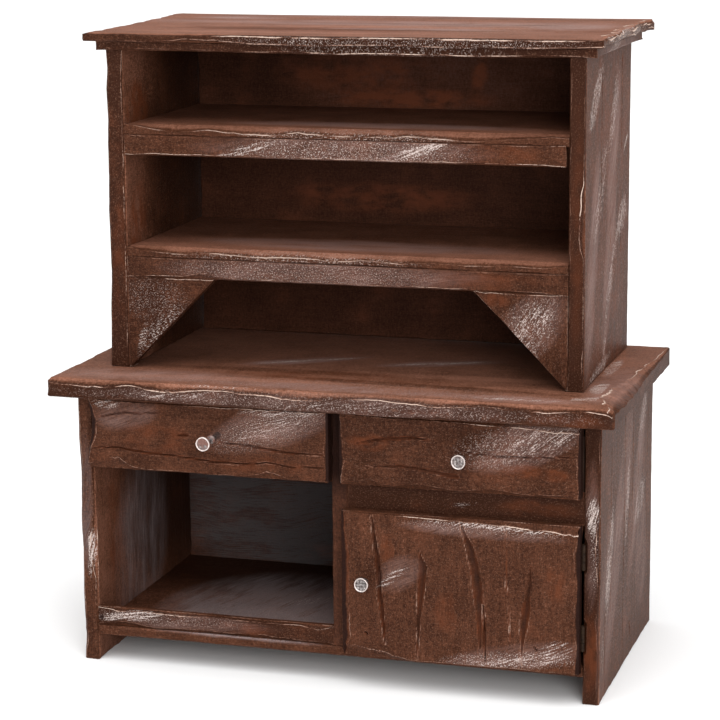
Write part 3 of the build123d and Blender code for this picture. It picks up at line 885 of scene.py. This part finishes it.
def upper_shelf_rail():
    b = Board("upper_shelf_rail", 0.42, "x", 31)
    b.hollow("front", 0.2, (10, 3, 3))
    b.press("right", "z", [(0, 0.9), (0.5, 0.7), (1, 0.9)])
    b.bevel("front", "bottom", 0.4, 0.5, wear=(0.8, 0.3))
    b.bevel("front", "top", 0.2, 0.2, wear=(0.55, 0.1))
    b.soften(0.3, wear=(0.8, 0.3))
    b.strokes("front", 16, 2)
    b.paint(
        "front", salt=[(0.52, 0.42, 66, 8, 0, 0.85)],
        white=[(0.29, 0.42, 20, 2.4, 14, 0.75), (0.68, 0.6, 16, 3.0, 14, 0.85)],
        haze=[(0.5, 0.5, 80, 8, 0, 0.6)], rust=[(0.85, 0.5, 24, 5, 0, 0.6)],
    )
    b.tone(front=-0.1)
    paint_case(b)


def lower_shelf():
    b = Board("lower_shelf", 0.6, "x", 33)
    b.hollow("top", 0.15, (26, 8, 4))
    cut = [
        (0, 0.3), (0.05, 0.9), (0.12, 1.5), (0.2, 1.0), (0.3, 1.5), (0.4, 1.1), (0.47, 1.7), (0.55, 1.2),
        (0.63, 1.6), (0.7, 1.0), (0.78, 1.5), (0.86, 0.9), (0.94, 1.3), (1, 0.6),
    ]
    shine = [(0, 0.5), (0.15, 0.8), (0.3, 1.0), (0.6, 0.9), (0.75, 0.6), (1, 0.4)]
    b.bevel("front", "top", cut, 3.0, wear=(shine, 0.1), rough=0.1)
    b.soften(0.25, wear=(0.3, 0.2))
    b.strokes("top", 3)
    b.strokes("front", 12)
    # The top's tone lifts, strongest along its front strip, are painted light.
    b.paint(
        "top", haze=[(0.50, 0.28, 90, 18, 0, 1.5)], tone=[(0.5, 0.15, 160, 34, 0, 0.6)],
        rust=[(0.5, 0.06, 100, 5, 0, 0.5)],
    )
    b.paint("front", salt=[(0.40, 0.5, 70, 4, 0, 0.7)])
    b.tone(top=0.9)
    paint_case(b)


def lower_shelf_rail():
    b = Board("lower_shelf_rail", 0.42, "x", 35)
    b.hollow("front", 0.2, (10, 3, 3))
    under = [(0, 0.3), (0.13, 0.5), (0.17, 1.6), (0.22, 0.5), (0.5, 0.35), (0.8, 0.5), (1, 0.3)]
    b.bevel("front", "bottom", under, 0.6, wear=(0.7, 0.3))
    b.bevel("front", "top", 0.2, 0.2, wear=(0.45, 0.1))
    b.soften(0.3, wear=(0.8, 0.3))
    b.strokes("front", 8, 2)
    b.paint(
        "front", salt=[(0.40, 0.5, 76, 7, 0, 0.6)], haze=[(0.45, 0.5, 90, 8, 0, 0.5)],
        rust=[(0.8, 0.5, 34, 5, 0, 0.5)],
    )
    b.tone(front=-0.2)
    paint_case(b)


def cornice_lower():
    b = Board("cornice_lower", 0.7, "x", 37)
    low = [
        (0, 0.2), (0.15, 0.5), (0.3, 0.2), (0.42, 0.5), (0.5, 0.15), (0.62, 0.6), (0.75, 0.2),
        (0.9, 0.5), (1, 0.2),
    ]
    worn = [(0, 0.4), (0.3, 0.4), (0.45, 0.9), (0.75, 0.9), (0.9, 0.5)]
    b.bevel("front", "bottom", low, 0.5, wear=(worn, 0.3))
    b.soften(0.3)
    b.paint("front", salt=[(0.60, 0.4, 60, 3, 0, 0.5)], tone=[(0.64, 0.5, 96, 9, 0, -0.9)])
    b.paint("right", haze=[(0.5, 0.5, 60, 4, 0, 0.8)], white=[(0.4, 0.5, 30, 3, 10, 0.6)])
    b.tone(front=-0.4)
    drop = [
        (0, 0.1), (0.15, 0.1), (0.26, 0.15), (0.34, 0.4), (0.4, 0.3), (0.46, 0.6), (0.55, 0.4), (0.65, 0.65),
        (0.72, 0.45), (0.8, 0.65), (0.9, 0.2), (1, 0.1),
    ]
    hang(b, drop)
    paint_case(b)


def hang(board, drop):
    """Lets the lower front arris of a cornice board hang down in waves."""
    share = board.at[:, 0] / board.size[0]
    near = fade(board.depth("front"), 3.0) * fade(board.depth("bottom"), 1.6)
    board.sink("bottom", -along(drop, share) * near)


def cornice_top():
    b = Board("cornice_top", 0.6, "x", 39)
    b.hollow("top", 0.2, (40, 6, 4))
    waves = [(0, 0.5), (0.06, 0.25), (0.12, 0.1), (0.2, 0.7), (0.26, 0.6), (0.33, 0.15), (1, 0.15)]
    drop = [
        (0, 0), (0.08, 0.15), (0.136, 0.2), (0.2, 0), (0.26, 0), (0.33, 0.5), (0.4, 0.6), (0.45, 0.8), (0.52, 0.4),
        (0.58, 0.3), (0.645, 0.4), (0.71, 0.75), (0.79, 0.3), (0.856, 0.5), (0.956, 0.1), (1, 0),
    ]
    upper = [
        (0, 0.4), (0.1, 0.3), (0.2, 0.5), (0.3, 0.15), (0.45, 0.3), (0.6, 0.1), (0.8, 0.25), (1, 0.2),
    ]
    hang(b, drop)
    b.sink("top", -(0.45 + 0.65 * b.at[:, 1] / b.size[1]) * fade(b.depth("top"), 1.6))
    shine = [(0, 0.15), (0.24, 0.25), (0.29, 1.0), (0.95, 1.0), (1, 0.6)]
    sway = [(0, 0.5), (0.05, 0.2), (0.15, 0), (0.3, 0.5), (0.45, 0), (0.7, 0.4), (0.85, 0), (1, 0.2)]
    b.press("front", "x", sway)
    b.press("back", "x", [(0, -0.6), (0.1, -0.3), (0.2, 0), (0.8, 0.3), (1, 0)])
    left = [(0, -0.7), (0.08, 0), (0.3, 0.4), (0.45, 0.1), (0.6, 0.5), (0.8, 0.9), (0.9, 0.3), (1, 0)]
    b.press("left", "y", left)
    right = [(0, 0.6), (0.15, 1.3), (0.3, 0.5), (0.5, 1.6), (0.65, 0.8), (0.8, 1.4), (0.93, 0.3), (1, 0)]
    b.press("right", "y", right)
    b.bevel("front", "top", upper, 0.9, wear=(shine, 0.2), rough=0.3)
    b.bevel("front", "bottom", waves, 0.5, wear=([(0, 0.2), (0.3, 0.6), (1, 0.6)], 0.1))
    chewed = [(0, 0.8), (0.3, 2.2), (0.5, 1.2), (0.7, 2.0), (1, 0.7)]
    b.bevel("right", "top", 0.6, chewed, wear=(1.0, 1.0), rough=0.6)
    b.bevel("right", "bottom", 0.5, 0.8, wear=(0.9, 0.4), rough=0.6)
    b.bevel("left", "top", 0.3, 1.2, wear=(0.3, 0.1), rough=0.5)
    b.soften(0.3)
    b.strokes("top", 1, 0.8)
    b.strokes("front", 88)
    b.strokes("right", 40)
    b.paint("top", haze=[(0.5, 0.62, 150, 18, 0, 1.6)])
    bands = ((0.14, 7, 0.4), (0.3, 6, -0.7), (0.44, 7, 0.5), (0.6, 6, -0.6), (0.9, 6, -0.5))
    for centre, breadth, tone in bands:
        b.paint("top", tone=[(0.3 + 0.5 * centre, centre, 96, breadth, 1, tone)])
    b.paint(
        "top", salt=[(0.75, 0.5, 70, 40, 0, 0.4)],
        haze=[
            (0.18, 0.82, 30, 9, 2, 1.6), (0.60, 0.35, 50, 6, 2, 1.6), (0.88, 0.6, 26, 30, 10, 1.4),
            (0.5, 0.95, 120, 8, 0, 1.0),
        ],
        white=[(0.88, 0.55, 30, 14, 4, 0.35), (0.50, 0.88, 70, 5, 0, 0.3), (0.16, 0.82, 16, 4, 3, 0.5)],
        rust=[(0.4, 0.3, 90, 12, 0, 0.9), (0.9, 0.4, 26, 16, 0, 0.9)],
    )
    b.paint("front", white=[(0.62, 0.5, 98, 3, 0, 0.22)], salt=[(0.62, 0.5, 98, 3, 0, 0.6)])
    b.paint("right", white=[(0.5, 0.5, 64, 3, 0, 0.75)])
    # The top is lifted: painted light of the lit top.
    b.tone(top=1.5)
    b.paint("front", tone=[(0.64, 0.5, 96, 9, 0, -1.4)])
    b.tone(front=-0.3)
    paint_case(b)


# Brackets

def gusset(side):
    """A triangular bracket: a board squeezed to its triangle, square corner up and outward."""
    left = side == "left"
    b = Board(f"gusset_{side}", 0.4, "x" if left else "z", 41 if left else 43)
    b.hollow("front", 0.25, (7, 4, 5))
    b.soften(0.3, wear=(0.8, 0.4))
    square = b.at[:, 0].copy()
    across = square + b.move[:, 0]
    width = b.size[0]
    reach = np.clip((b.at[:, 2] + b.move[:, 2]) / b.size[2], 0.02, 1)
    placed = across * reach if left else width - (width - across) * reach
    b.move[:, 0] += placed - across
    b.at[:, 0] = placed
    if left:
        b.paint(
            "front", salt=[(0.38, 0.42, 20, 7, 50, 1.0), (0.3, 0.75, 20, 12, 0, 0.4)],
            white=[(0.16, 0.35, 10, 2.5, 75, 0.6)],
        )
        b.tone(front=-0.4)
    else:
        b.paint(
            "front", salt=[(0.55, 0.6, 22, 14, 50, 0.7)], white=[(0.60, 0.62, 20, 9, 56, 0.55)],
            haze=[(0.62, 0.65, 24, 14, 50, 0.4)], rust=[(0.2, 0.9, 10, 4, 0, 0.6)],
        )
        b.tone(front=-0.2)
    b.at[:, 0] = square
    if left:
        b.strokes("front", 20, 2)
    else:
        b.strokes("front", 56, 1)
    paint_case(b)


# Drawers and door

def finish_front(board, body):
    """Darkens a front's ends, which stand in the gaps, as painted shade, and paints it."""
    board.tone(left=-1.0, right=-1.0)
    board.mark("dark", 0.9 * (board.on("left") | board.on("right")))
    board.finish(PAINT, "painted_wood", body)


def drawer_left_front():
    b = Board("drawer_left_front", 0.32, "x", 45)
    b.hollow("front", 0.3, (13, 4, 5))
    lower = [
        (0, 1.4), (0.06, 2.0), (0.12, 3.0), (0.18, 1.2), (0.24, 0.6), (0.4, 0.5), (0.55, 0.4), (0.66, 0.6),
        (0.75, 1.9), (0.84, 0.6), (0.93, 0.4), (1, 1.0),
    ]
    ends = [(0, 0.4), (0.3, 0.6), (0.5, 1.5), (0.7, 1.7), (0.85, 1.1), (1, 0.4)]
    b.press("left", "z", [(0, -0.3), (0.3, 0), (0.5, 0.8), (0.7, 0.9), (0.85, 0.5), (1, 0)], 3.0)
    shine = [(0, 0.5), (0.3, 0.3), (0.5, 0.5), (0.6, 1.0), (1, 1.0)]
    b.bevel("front", "top", 0.5, 0.7, wear=(shine, 0.4))
    b.bevel("front", "bottom", lower, 1.2, wear=(0.45, 0.2))
    b.bevel("front", "left", ends, 0.5, wear=(0.5, 0.2), facet=("rust", 0.5))
    b.bevel("front", "right", 0.9, 0.4, wear=(0.4, 0.1))
    b.soften(0.3)
    cuts = [
        [(0.03, 0.73, 0.3), (0.15, 0.82, 0.8), (0.30, 0.84, 0.3)],
        [
            (0.01, 0.28, 0.4), (0.19, 0.275, 0.8), (0.365, 0.245, 0.5), (0.54, 0.2, 0.7),
            (0.747, 0.19, 0.5), (0.99, 0.22, 0.3),
        ],
        [(0.54, 0.48, 0.3), (0.68, 0.46, 0.9), (0.82, 0.40, 0.7), (0.99, 0.40, 0.3)],
        [(0.38, 0.55, 0.3), (0.41, 0.55, 0.9), (0.43, 0.55, 0.3)],
    ]
    for cut in cuts:
        b.gouge("front", cut, 0.7, 0.6, 0.35)
    b.strokes("front", 22, 2)
    b.paint(
        "front",
        white=[(0.80, 0.80, 34, 6, 20, 0.5), (0.82, 0.95, 26, 3, 3, 0.7), (0.08, 0.93, 9, 3, 5, 0.7)],
        salt=[(0.76, 0.72, 36, 10, 18, 0.6)],
        haze=[(0.78, 0.76, 38, 12, 18, 0.6), (0.15, 0.8, 20, 9, 10, 0.5)],
        rust=[(0.3, 0.5, 24, 9, 0, 0.5), (0.7, 0.2, 30, 5, 0, 0.4)],
    )
    b.tone(front=-0.1)
    finish_front(b, "drawer_left")


def drawer_right_front():
    b = Board("drawer_right_front", 0.32, "x", 47)
    b.hollow("front", 0.3, (13, 4, 5))
    lower = [
        (0, 1.0), (0.1, 1.9), (0.22, 0.6), (0.36, 1.5), (0.5, 0.5), (0.64, 1.4), (0.8, 0.6),
        (0.92, 1.2), (1, 0.6),
    ]
    shine = [(0, 0.4), (0.4, 0.3), (0.55, 0.9), (1, 1.0)]
    b.bevel("front", "top", [(0, 0.4), (0.5, 0.6), (0.8, 1.2), (1, 1.8)], 0.7, wear=(shine, 0.5))
    b.bevel("front", "bottom", lower, 1.2, wear=(0.4, 0.2))
    b.bevel("front", "left", [(0, 0.6), (0.4, 1.2), (0.8, 0.8), (1, 0.5)], 0.4, wear=(0.5, 0.2))
    b.bevel("front", "right", 0.8, 0.4, wear=(0.4, 0.1))
    b.soften(0.3)
    cuts = [
        [(0.073, 0.6, 0.3), (0.215, 0.69, 1.0), (0.32, 0.72, 0.8), (0.407, 0.69, 0.3)],
        [(0.108, 0.257, 0.3), (0.25, 0.31, 0.8), (0.379, 0.257, 0.9), (0.493, 0.215, 1.4)],
        [(0.52, 0.56, 0.3), (0.68, 0.53, 0.7), (0.96, 0.58, 0.3)],
    ]
    for cut in cuts:
        b.gouge("front", cut, 0.7, 0.6, 0.35)
    b.strokes("front", 38, 2)
    b.paint(
        "front", white=[(0.80, 0.78, 24, 6, 32, 0.45), (0.93, 0.9, 10, 5, 35, 0.7)],
        salt=[(0.74, 0.72, 36, 12, 15, 0.55)], haze=[(0.78, 0.75, 32, 13, 25, 0.6)],
        rust=[(0.12, 0.62, 12, 5, 0, 0.9), (0.78, 0.35, 12, 4, 0, 0.9), (0.9, 0.32, 8, 4, 0, 0.9)],
    )
    b.tone(front=-0.25)
    finish_front(b, "drawer_right")


def door_panel():
    b = Board("door_panel", 0.32, "z", 49)
    b.hollow("front", 0.3, (7, 4, 14))
    lower = [
        (0, 2.9), (0.08, 2.6), (0.16, 2.0), (0.28, 0.4), (0.5, 0.3), (0.7, 0.5), (0.85, 0.3), (1, 0.6),
    ]
    upper = [(0, 0.3), (0.28, 0.4), (0.5, 0.6), (0.7, 0.9), (0.85, 1.6), (1, 2.4)]
    left = [(0, 1.5), (0.2, 2.2), (0.45, 1.6), (0.7, 1.9), (1, 0.9)]
    right = [(0, 1.2), (0.2, 0.6), (0.4, 1.4), (0.6, 0.7), (0.8, 1.3), (1, 0.8)]
    b.bevel("front", "top", upper, 0.9, wear=([(0, 0.3), (0.25, 0.4), (0.3, 1.1), (1, 1.1)], 0.5))
    b.bevel("front", "bottom", lower, 1.2, wear=(0.5, 0.2))
    b.bevel("front", "left", left, 0.5, wear=(0.5, 0.2), facet=("rust", 0.5))
    b.bevel("front", "right", right, 0.35, wear=(0.4, 0.1))
    hinge_room = [
        (0, 0.2), (0.12, 0.2), (0.13, 0.85), (0.33, 0.85), (0.34, 0.2),
        (0.67, 0.2), (0.68, 0.85), (0.88, 0.85), (0.89, 0.2), (1, 0.2),
    ]
    b.bevel("back", "right", hinge_room, hinge_room, wear=(0.1, 0.1), rough=0.02)
    b.soften(0.25)
    cuts = [
        [
            (0.131, 0.97, 0.3), (0.144, 0.83, 0.7), (0.158, 0.63, 0.9), (0.166, 0.43, 0.9),
            (0.179, 0.25, 0.6), (0.186, 0.08, 0.2),
        ],
        [
            (0.336, 0.753, 0.3), (0.347, 0.65, 1.5), (0.341, 0.45, 1.1), (0.329, 0.285, 0.6),
            (0.324, 0.03, 0.25),
        ],
        [
            (0.509, 0.98, 0.3), (0.534, 0.87, 0.9), (0.559, 0.74, 1.5), (0.579, 0.56, 1.7),
            (0.587, 0.37, 1.2), (0.589, 0.13, 0.3),
        ],
        [(0.600, 0.42, 0.4), (0.608, 0.25, 0.6), (0.615, 0.05, 0.2)],
        [
            (0.80, 0.73, 0.25), (0.797, 0.62, 0.4), (0.79, 0.52, 0.7), (0.782, 0.42, 1.5),
            (0.772, 0.30, 1.3), (0.765, 0.17, 0.4), (0.76, 0.02, 0.2),
        ],
    ]
    for cut in cuts:
        b.gouge("front", [(across, up, 1.5 * width) for across, up, width in cut], 1.0, 0.7, 0.5)
    for hole in ((0.098, 0.177), (0.815, 0.17)):
        b.gouge("front", [(*hole, 0.5), (hole[0] + 0.012, hole[1] - 0.02, 0.6)], 0.7, 1.0, 0.4)
    scratch = [
        (0.695, 0.99, 0.25), (0.699, 0.75, 0.3), (0.699, 0.58, 0.3), (0.71, 0.45, 0.3),
        (0.715, 0.2, 0.2),
    ]
    b.gouge("front", scratch, 0.12, 0.2, 0.5)
    b.strokes("front", 22, 2)
    b.paint(
        "front",
        white=[
            (0.78, 0.08, 30, 4, 10, 0.6), (0.90, 0.15, 12, 6, 25, 0.6), (0.22, 0.57, 12, 3, 38, 0.5),
            (0.65, 0.97, 40, 1.5, 0, 0.8),
        ],
        salt=[(0.72, 0.07, 38, 5, 5, 0.7), (0.6, 0.95, 44, 3, 0, 0.5)],
        haze=[(0.75, 0.10, 40, 7, 10, 0.6), (0.25, 0.6, 14, 9, 35, 0.5), (0.6, 0.93, 44, 4, 0, 0.6)],
        rust=[(0.20, 0.77, 8, 6, 80, 1.1), (0.45, 0.35, 12, 8, 85, 0.5), (0.9, 0.6, 12, 6, 85, 0.6)],
        tone=[(0.5, 0.55, 50, 20, 0, -0.1)],
    )
    finish_front(b, "door")


def drawer_boxes():
    """The unseen boxes behind the drawer fronts, in bare wood with rubbed arrises."""
    grains = {"side_left": "y", "side_right": "y", "back": "x", "bottom": "x"}
    for number, drawer in enumerate(("drawer_left", "drawer_right")):
        for place, (part, grain) in enumerate(grains.items()):
            b = Board(f"{drawer}_{part}", 0.9, grain, 61 + 10 * number + place)
            b.soften(0.2)
            # The sides go near-black towards the front, where they show in the gaps: painted shade.
            if grain == "y":
                b.mark("dark", 0.95 * fade(b.at[:, 1] - 3.0, 12.0))
            b.finish(BARE, "bare_drawer_wood", drawer)


# Knobs

def nail_profile(reach, radius):
    """(radius, distance out) from the buried end of the nail to the inside of its rim."""
    back = reach - 0.8
    middle = reach / 2
    shank = 0.42 * radius
    return [
        (shank * 0.5, -2.9), (shank, -2.6), (shank, middle - 0.5), (shank * 1.35, middle - 0.4),
        (shank * 1.4, middle - 0.1), (shank, middle), (shank, back - 0.25), (radius * 0.7, back + 0.05),
        (radius * 0.97, back + 0.15), (radius, back + 0.4), (radius * 0.985, reach - 0.12),
        (radius * 0.93, reach), (radius * 0.86, reach - 0.05), (radius * 0.80, reach - 0.26),
    ]


def knob(node, body, seed, smear, lean):
    """A flat-headed nail: rolled rim, struck face, and a head that leans by (across, up) mm."""
    low, high = (np.array(corner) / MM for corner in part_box(node))
    radius = (high[0] - low[0]) / 2
    buried = 3.0
    reach = (high[1] - low[1]) - buried
    wood = high[1] - buried
    centre_x, centre_z = (low[0] + high[0]) / 2, (low[2] + high[2]) / 2
    profile = nail_profile(reach, radius)
    rim_from, rim_to = len(profile) - 4, len(profile) - 2
    face_rings = 14
    inner = profile[-1][0]
    profile += [(inner * (1 - i / face_rings), profile[-1][1]) for i in range(1, face_rings)]
    turns = 72
    angle = np.linspace(0, 2 * math.pi, turns, endpoint=False)
    rings = np.array(profile)
    ring_radius = np.repeat(rings[:, 0], turns)
    out = np.repeat(rings[:, 1], turns)
    turn = np.tile(angle, len(rings))
    number = np.repeat(np.arange(len(rings)), turns)
    circle = np.column_stack((np.cos(turn), np.sin(turn), turn * 0))
    head = out > reach - 0.85
    lump = noise(circle * 2.0 + seed, 1.0, seed)
    ring_radius = ring_radius * (1 - 0.05 * head * (0.5 + 0.5 * lump))
    x = ring_radius * np.cos(turn)
    z = ring_radius * np.sin(turn)
    flat = np.column_stack((x, z, x * 0))
    on_face = number >= rim_to + 1
    grid = 0.5 + 0.25 * (np.cos(8 * x + 0.4) + np.cos(8 * z))
    rough = 0.5 + 0.5 * noise(flat + seed, 0.45, seed + 1)
    struck = grid * 0.6 + rough * 0.4
    inner_share = np.clip((inner - ring_radius) / 0.15, 0, 1)
    out = out + on_face * inner_share * (0.26 * struck - 0.06)
    rim = 1.0 * (number >= rim_from) * (number <= rim_to)
    out = out - 0.05 * rim * (0.5 + 0.5 * noise(circle * 3 + seed, 0.6, seed + 2))
    bent = np.clip(out / reach, 0, 1)
    points = np.column_stack((centre_x + x + lean[0] * bent, wood - out, centre_z + z + lean[1] * bent))
    middles = np.array([
        [centre_x + lean[0], wood - rings[-1, 1] - 0.1, centre_z + lean[1]],
        [centre_x, wood + 2.9, centre_z],
    ])
    quads = []
    for inner_end in range(0, (len(rings) - 1) * turns, turns):
        outer_end = inner_end + turns
        for i in range(turns):
            j = (i + 1) % turns
            quads.append((inner_end + i, inner_end + j, outer_end + j, outer_end + i))
    last = (len(rings) - 1) * turns
    fans = [(last + i, last + (i + 1) % turns, len(points)) for i in range(turns)]
    fans += [((i + 1) % turns, i, len(points) + 1) for i in range(turns)]
    mesh = bpy.data.meshes.new(f"struck_{node}")
    mesh.from_pydata((np.vstack((points, middles)) * MM).tolist(), [], quads + fans)
    hollow = on_face * np.clip(1.2 - 2.2 * struck, 0, 1)
    marks = np.column_stack((smear + 0 * rim, hollow, rim, rim * 0 + 1))
    marks = np.vstack((marks, [[smear, 0.3, 0, 1], [0, 0, 0, 1]]))
    layer = mesh.attributes.new("paint", "FLOAT_COLOR", "POINT")
    layer.data.foreach_set("color", marks.astype(np.float32).ravel())
    places = np.vstack((points, middles)) + seed
    layer = mesh.attributes.new("grain", "FLOAT_VECTOR", "POINT")
    layer.data.foreach_set("vector", places.astype(np.float32).ravel())
    mesh.shade_smooth()
    mesh.materials.append(KNOB)
    piece = bpy.data.objects.new(f"struck_{node}", mesh)
    bpy.context.scene.collection.objects.link(piece)
    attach(piece, body)
    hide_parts(node)


def hardware():
    """The hinges, tacks and brads keep their CAD shape and get their metals."""
    for name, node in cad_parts.items():
        if name.startswith("hinge_") or name == "assembly_brads":
            node.data.materials.clear()
            node.data.materials.append(STEEL if name == "assembly_brads" else BRASS)


# Studio

def studio():
    mesh = bpy.data.meshes.new("floor")
    half = 6.0
    corners = [(-half, -half, 0), (half, -half, 0), (half, half, 0), (-half, half, 0)]
    mesh.from_pydata(corners, [], [(0, 1, 2, 3)])
    mesh.materials.append(floor_material())
    floor = bpy.data.objects.new("floor", mesh)
    bpy.context.scene.collection.objects.link(floor)
    world = bpy.data.worlds.new("studio")
    world.use_nodes = True
    background = world.node_tree.nodes["Background"]
    background.inputs["Color"].default_value = (1, 1, 1, 1)
    background.inputs["Strength"].default_value = 0.45
    bpy.context.scene.world = world
    area_light("key", (0.55, -1.1, 0.42), (0, 0, 0.08), 0.6, 8.0)
    area_light("fill", (-0.8, -0.7, 0.4), (0, 0, 0.08), 0.8, 1.5)
    sun = bpy.data.lights.new("overhead", "SUN")
    sun.energy = 2.9
    sun.angle = math.radians(70)
    holder = bpy.data.objects.new("overhead", sun)
    holder.rotation_euler = Euler((math.radians(18), math.radians(6), 0))
    bpy.context.scene.collection.objects.link(holder)


def area_light(name, place, target, size, power):
    lamp = bpy.data.lights.new(name, "AREA")
    lamp.shape = "DISK"
    lamp.size = size
    lamp.energy = power
    holder = bpy.data.objects.new(name, lamp)
    holder.location = place
    aim = np.array(target) - np.array(place)
    pan = math.atan2(-aim[0], aim[1])
    tilt = math.atan2(math.hypot(aim[0], aim[1]), -aim[2])
    holder.rotation_euler = Euler((tilt, 0, pan))
    bpy.context.scene.collection.objects.link(holder)


def camera():
    lens = bpy.data.cameras.new("camera")
    lens.sensor_width = 36.0
    lens.lens = 121.51
    lens.clip_start = 0.01
    lens.clip_end = 50.0
    holder = bpy.data.objects.new("camera", lens)
    holder.location = (0.17213, -0.57034, 0.19938)
    holder.rotation_euler = Euler([math.radians(angle) for angle in (78.188, 0.464, 16.829)])
    bpy.context.scene.collection.objects.link(holder)
    bpy.context.scene.camera = holder


case_boards = (
    worktop, base_side_right, base_side_left, base_floor, base_lip_rail, base_divider, base_back_panel,
    drawer_shelves, mid_rail, hutch_side_left, hutch_side_right, hutch_back_panel,
    upper_shelf, upper_shelf_rail, lower_shelf, lower_shelf_rail, cornice_lower, cornice_top,
)
for carve in case_boards:
    carve()
gusset("left")
gusset("right")
drawer_left_front()
drawer_right_front()
door_panel()
drawer_boxes()
knob("drawer_left_knob", "drawer_left", 3, 1.0, (-1.1, -0.5))
knob("drawer_right_knob", "drawer_right", 5, 0.25, (0, 0))
knob("door_knob", "door", 8, 0.1, (0, 0))
hardware()
studio()
camera()
bpy.context.scene.view_settings.view_transform = "Standard"
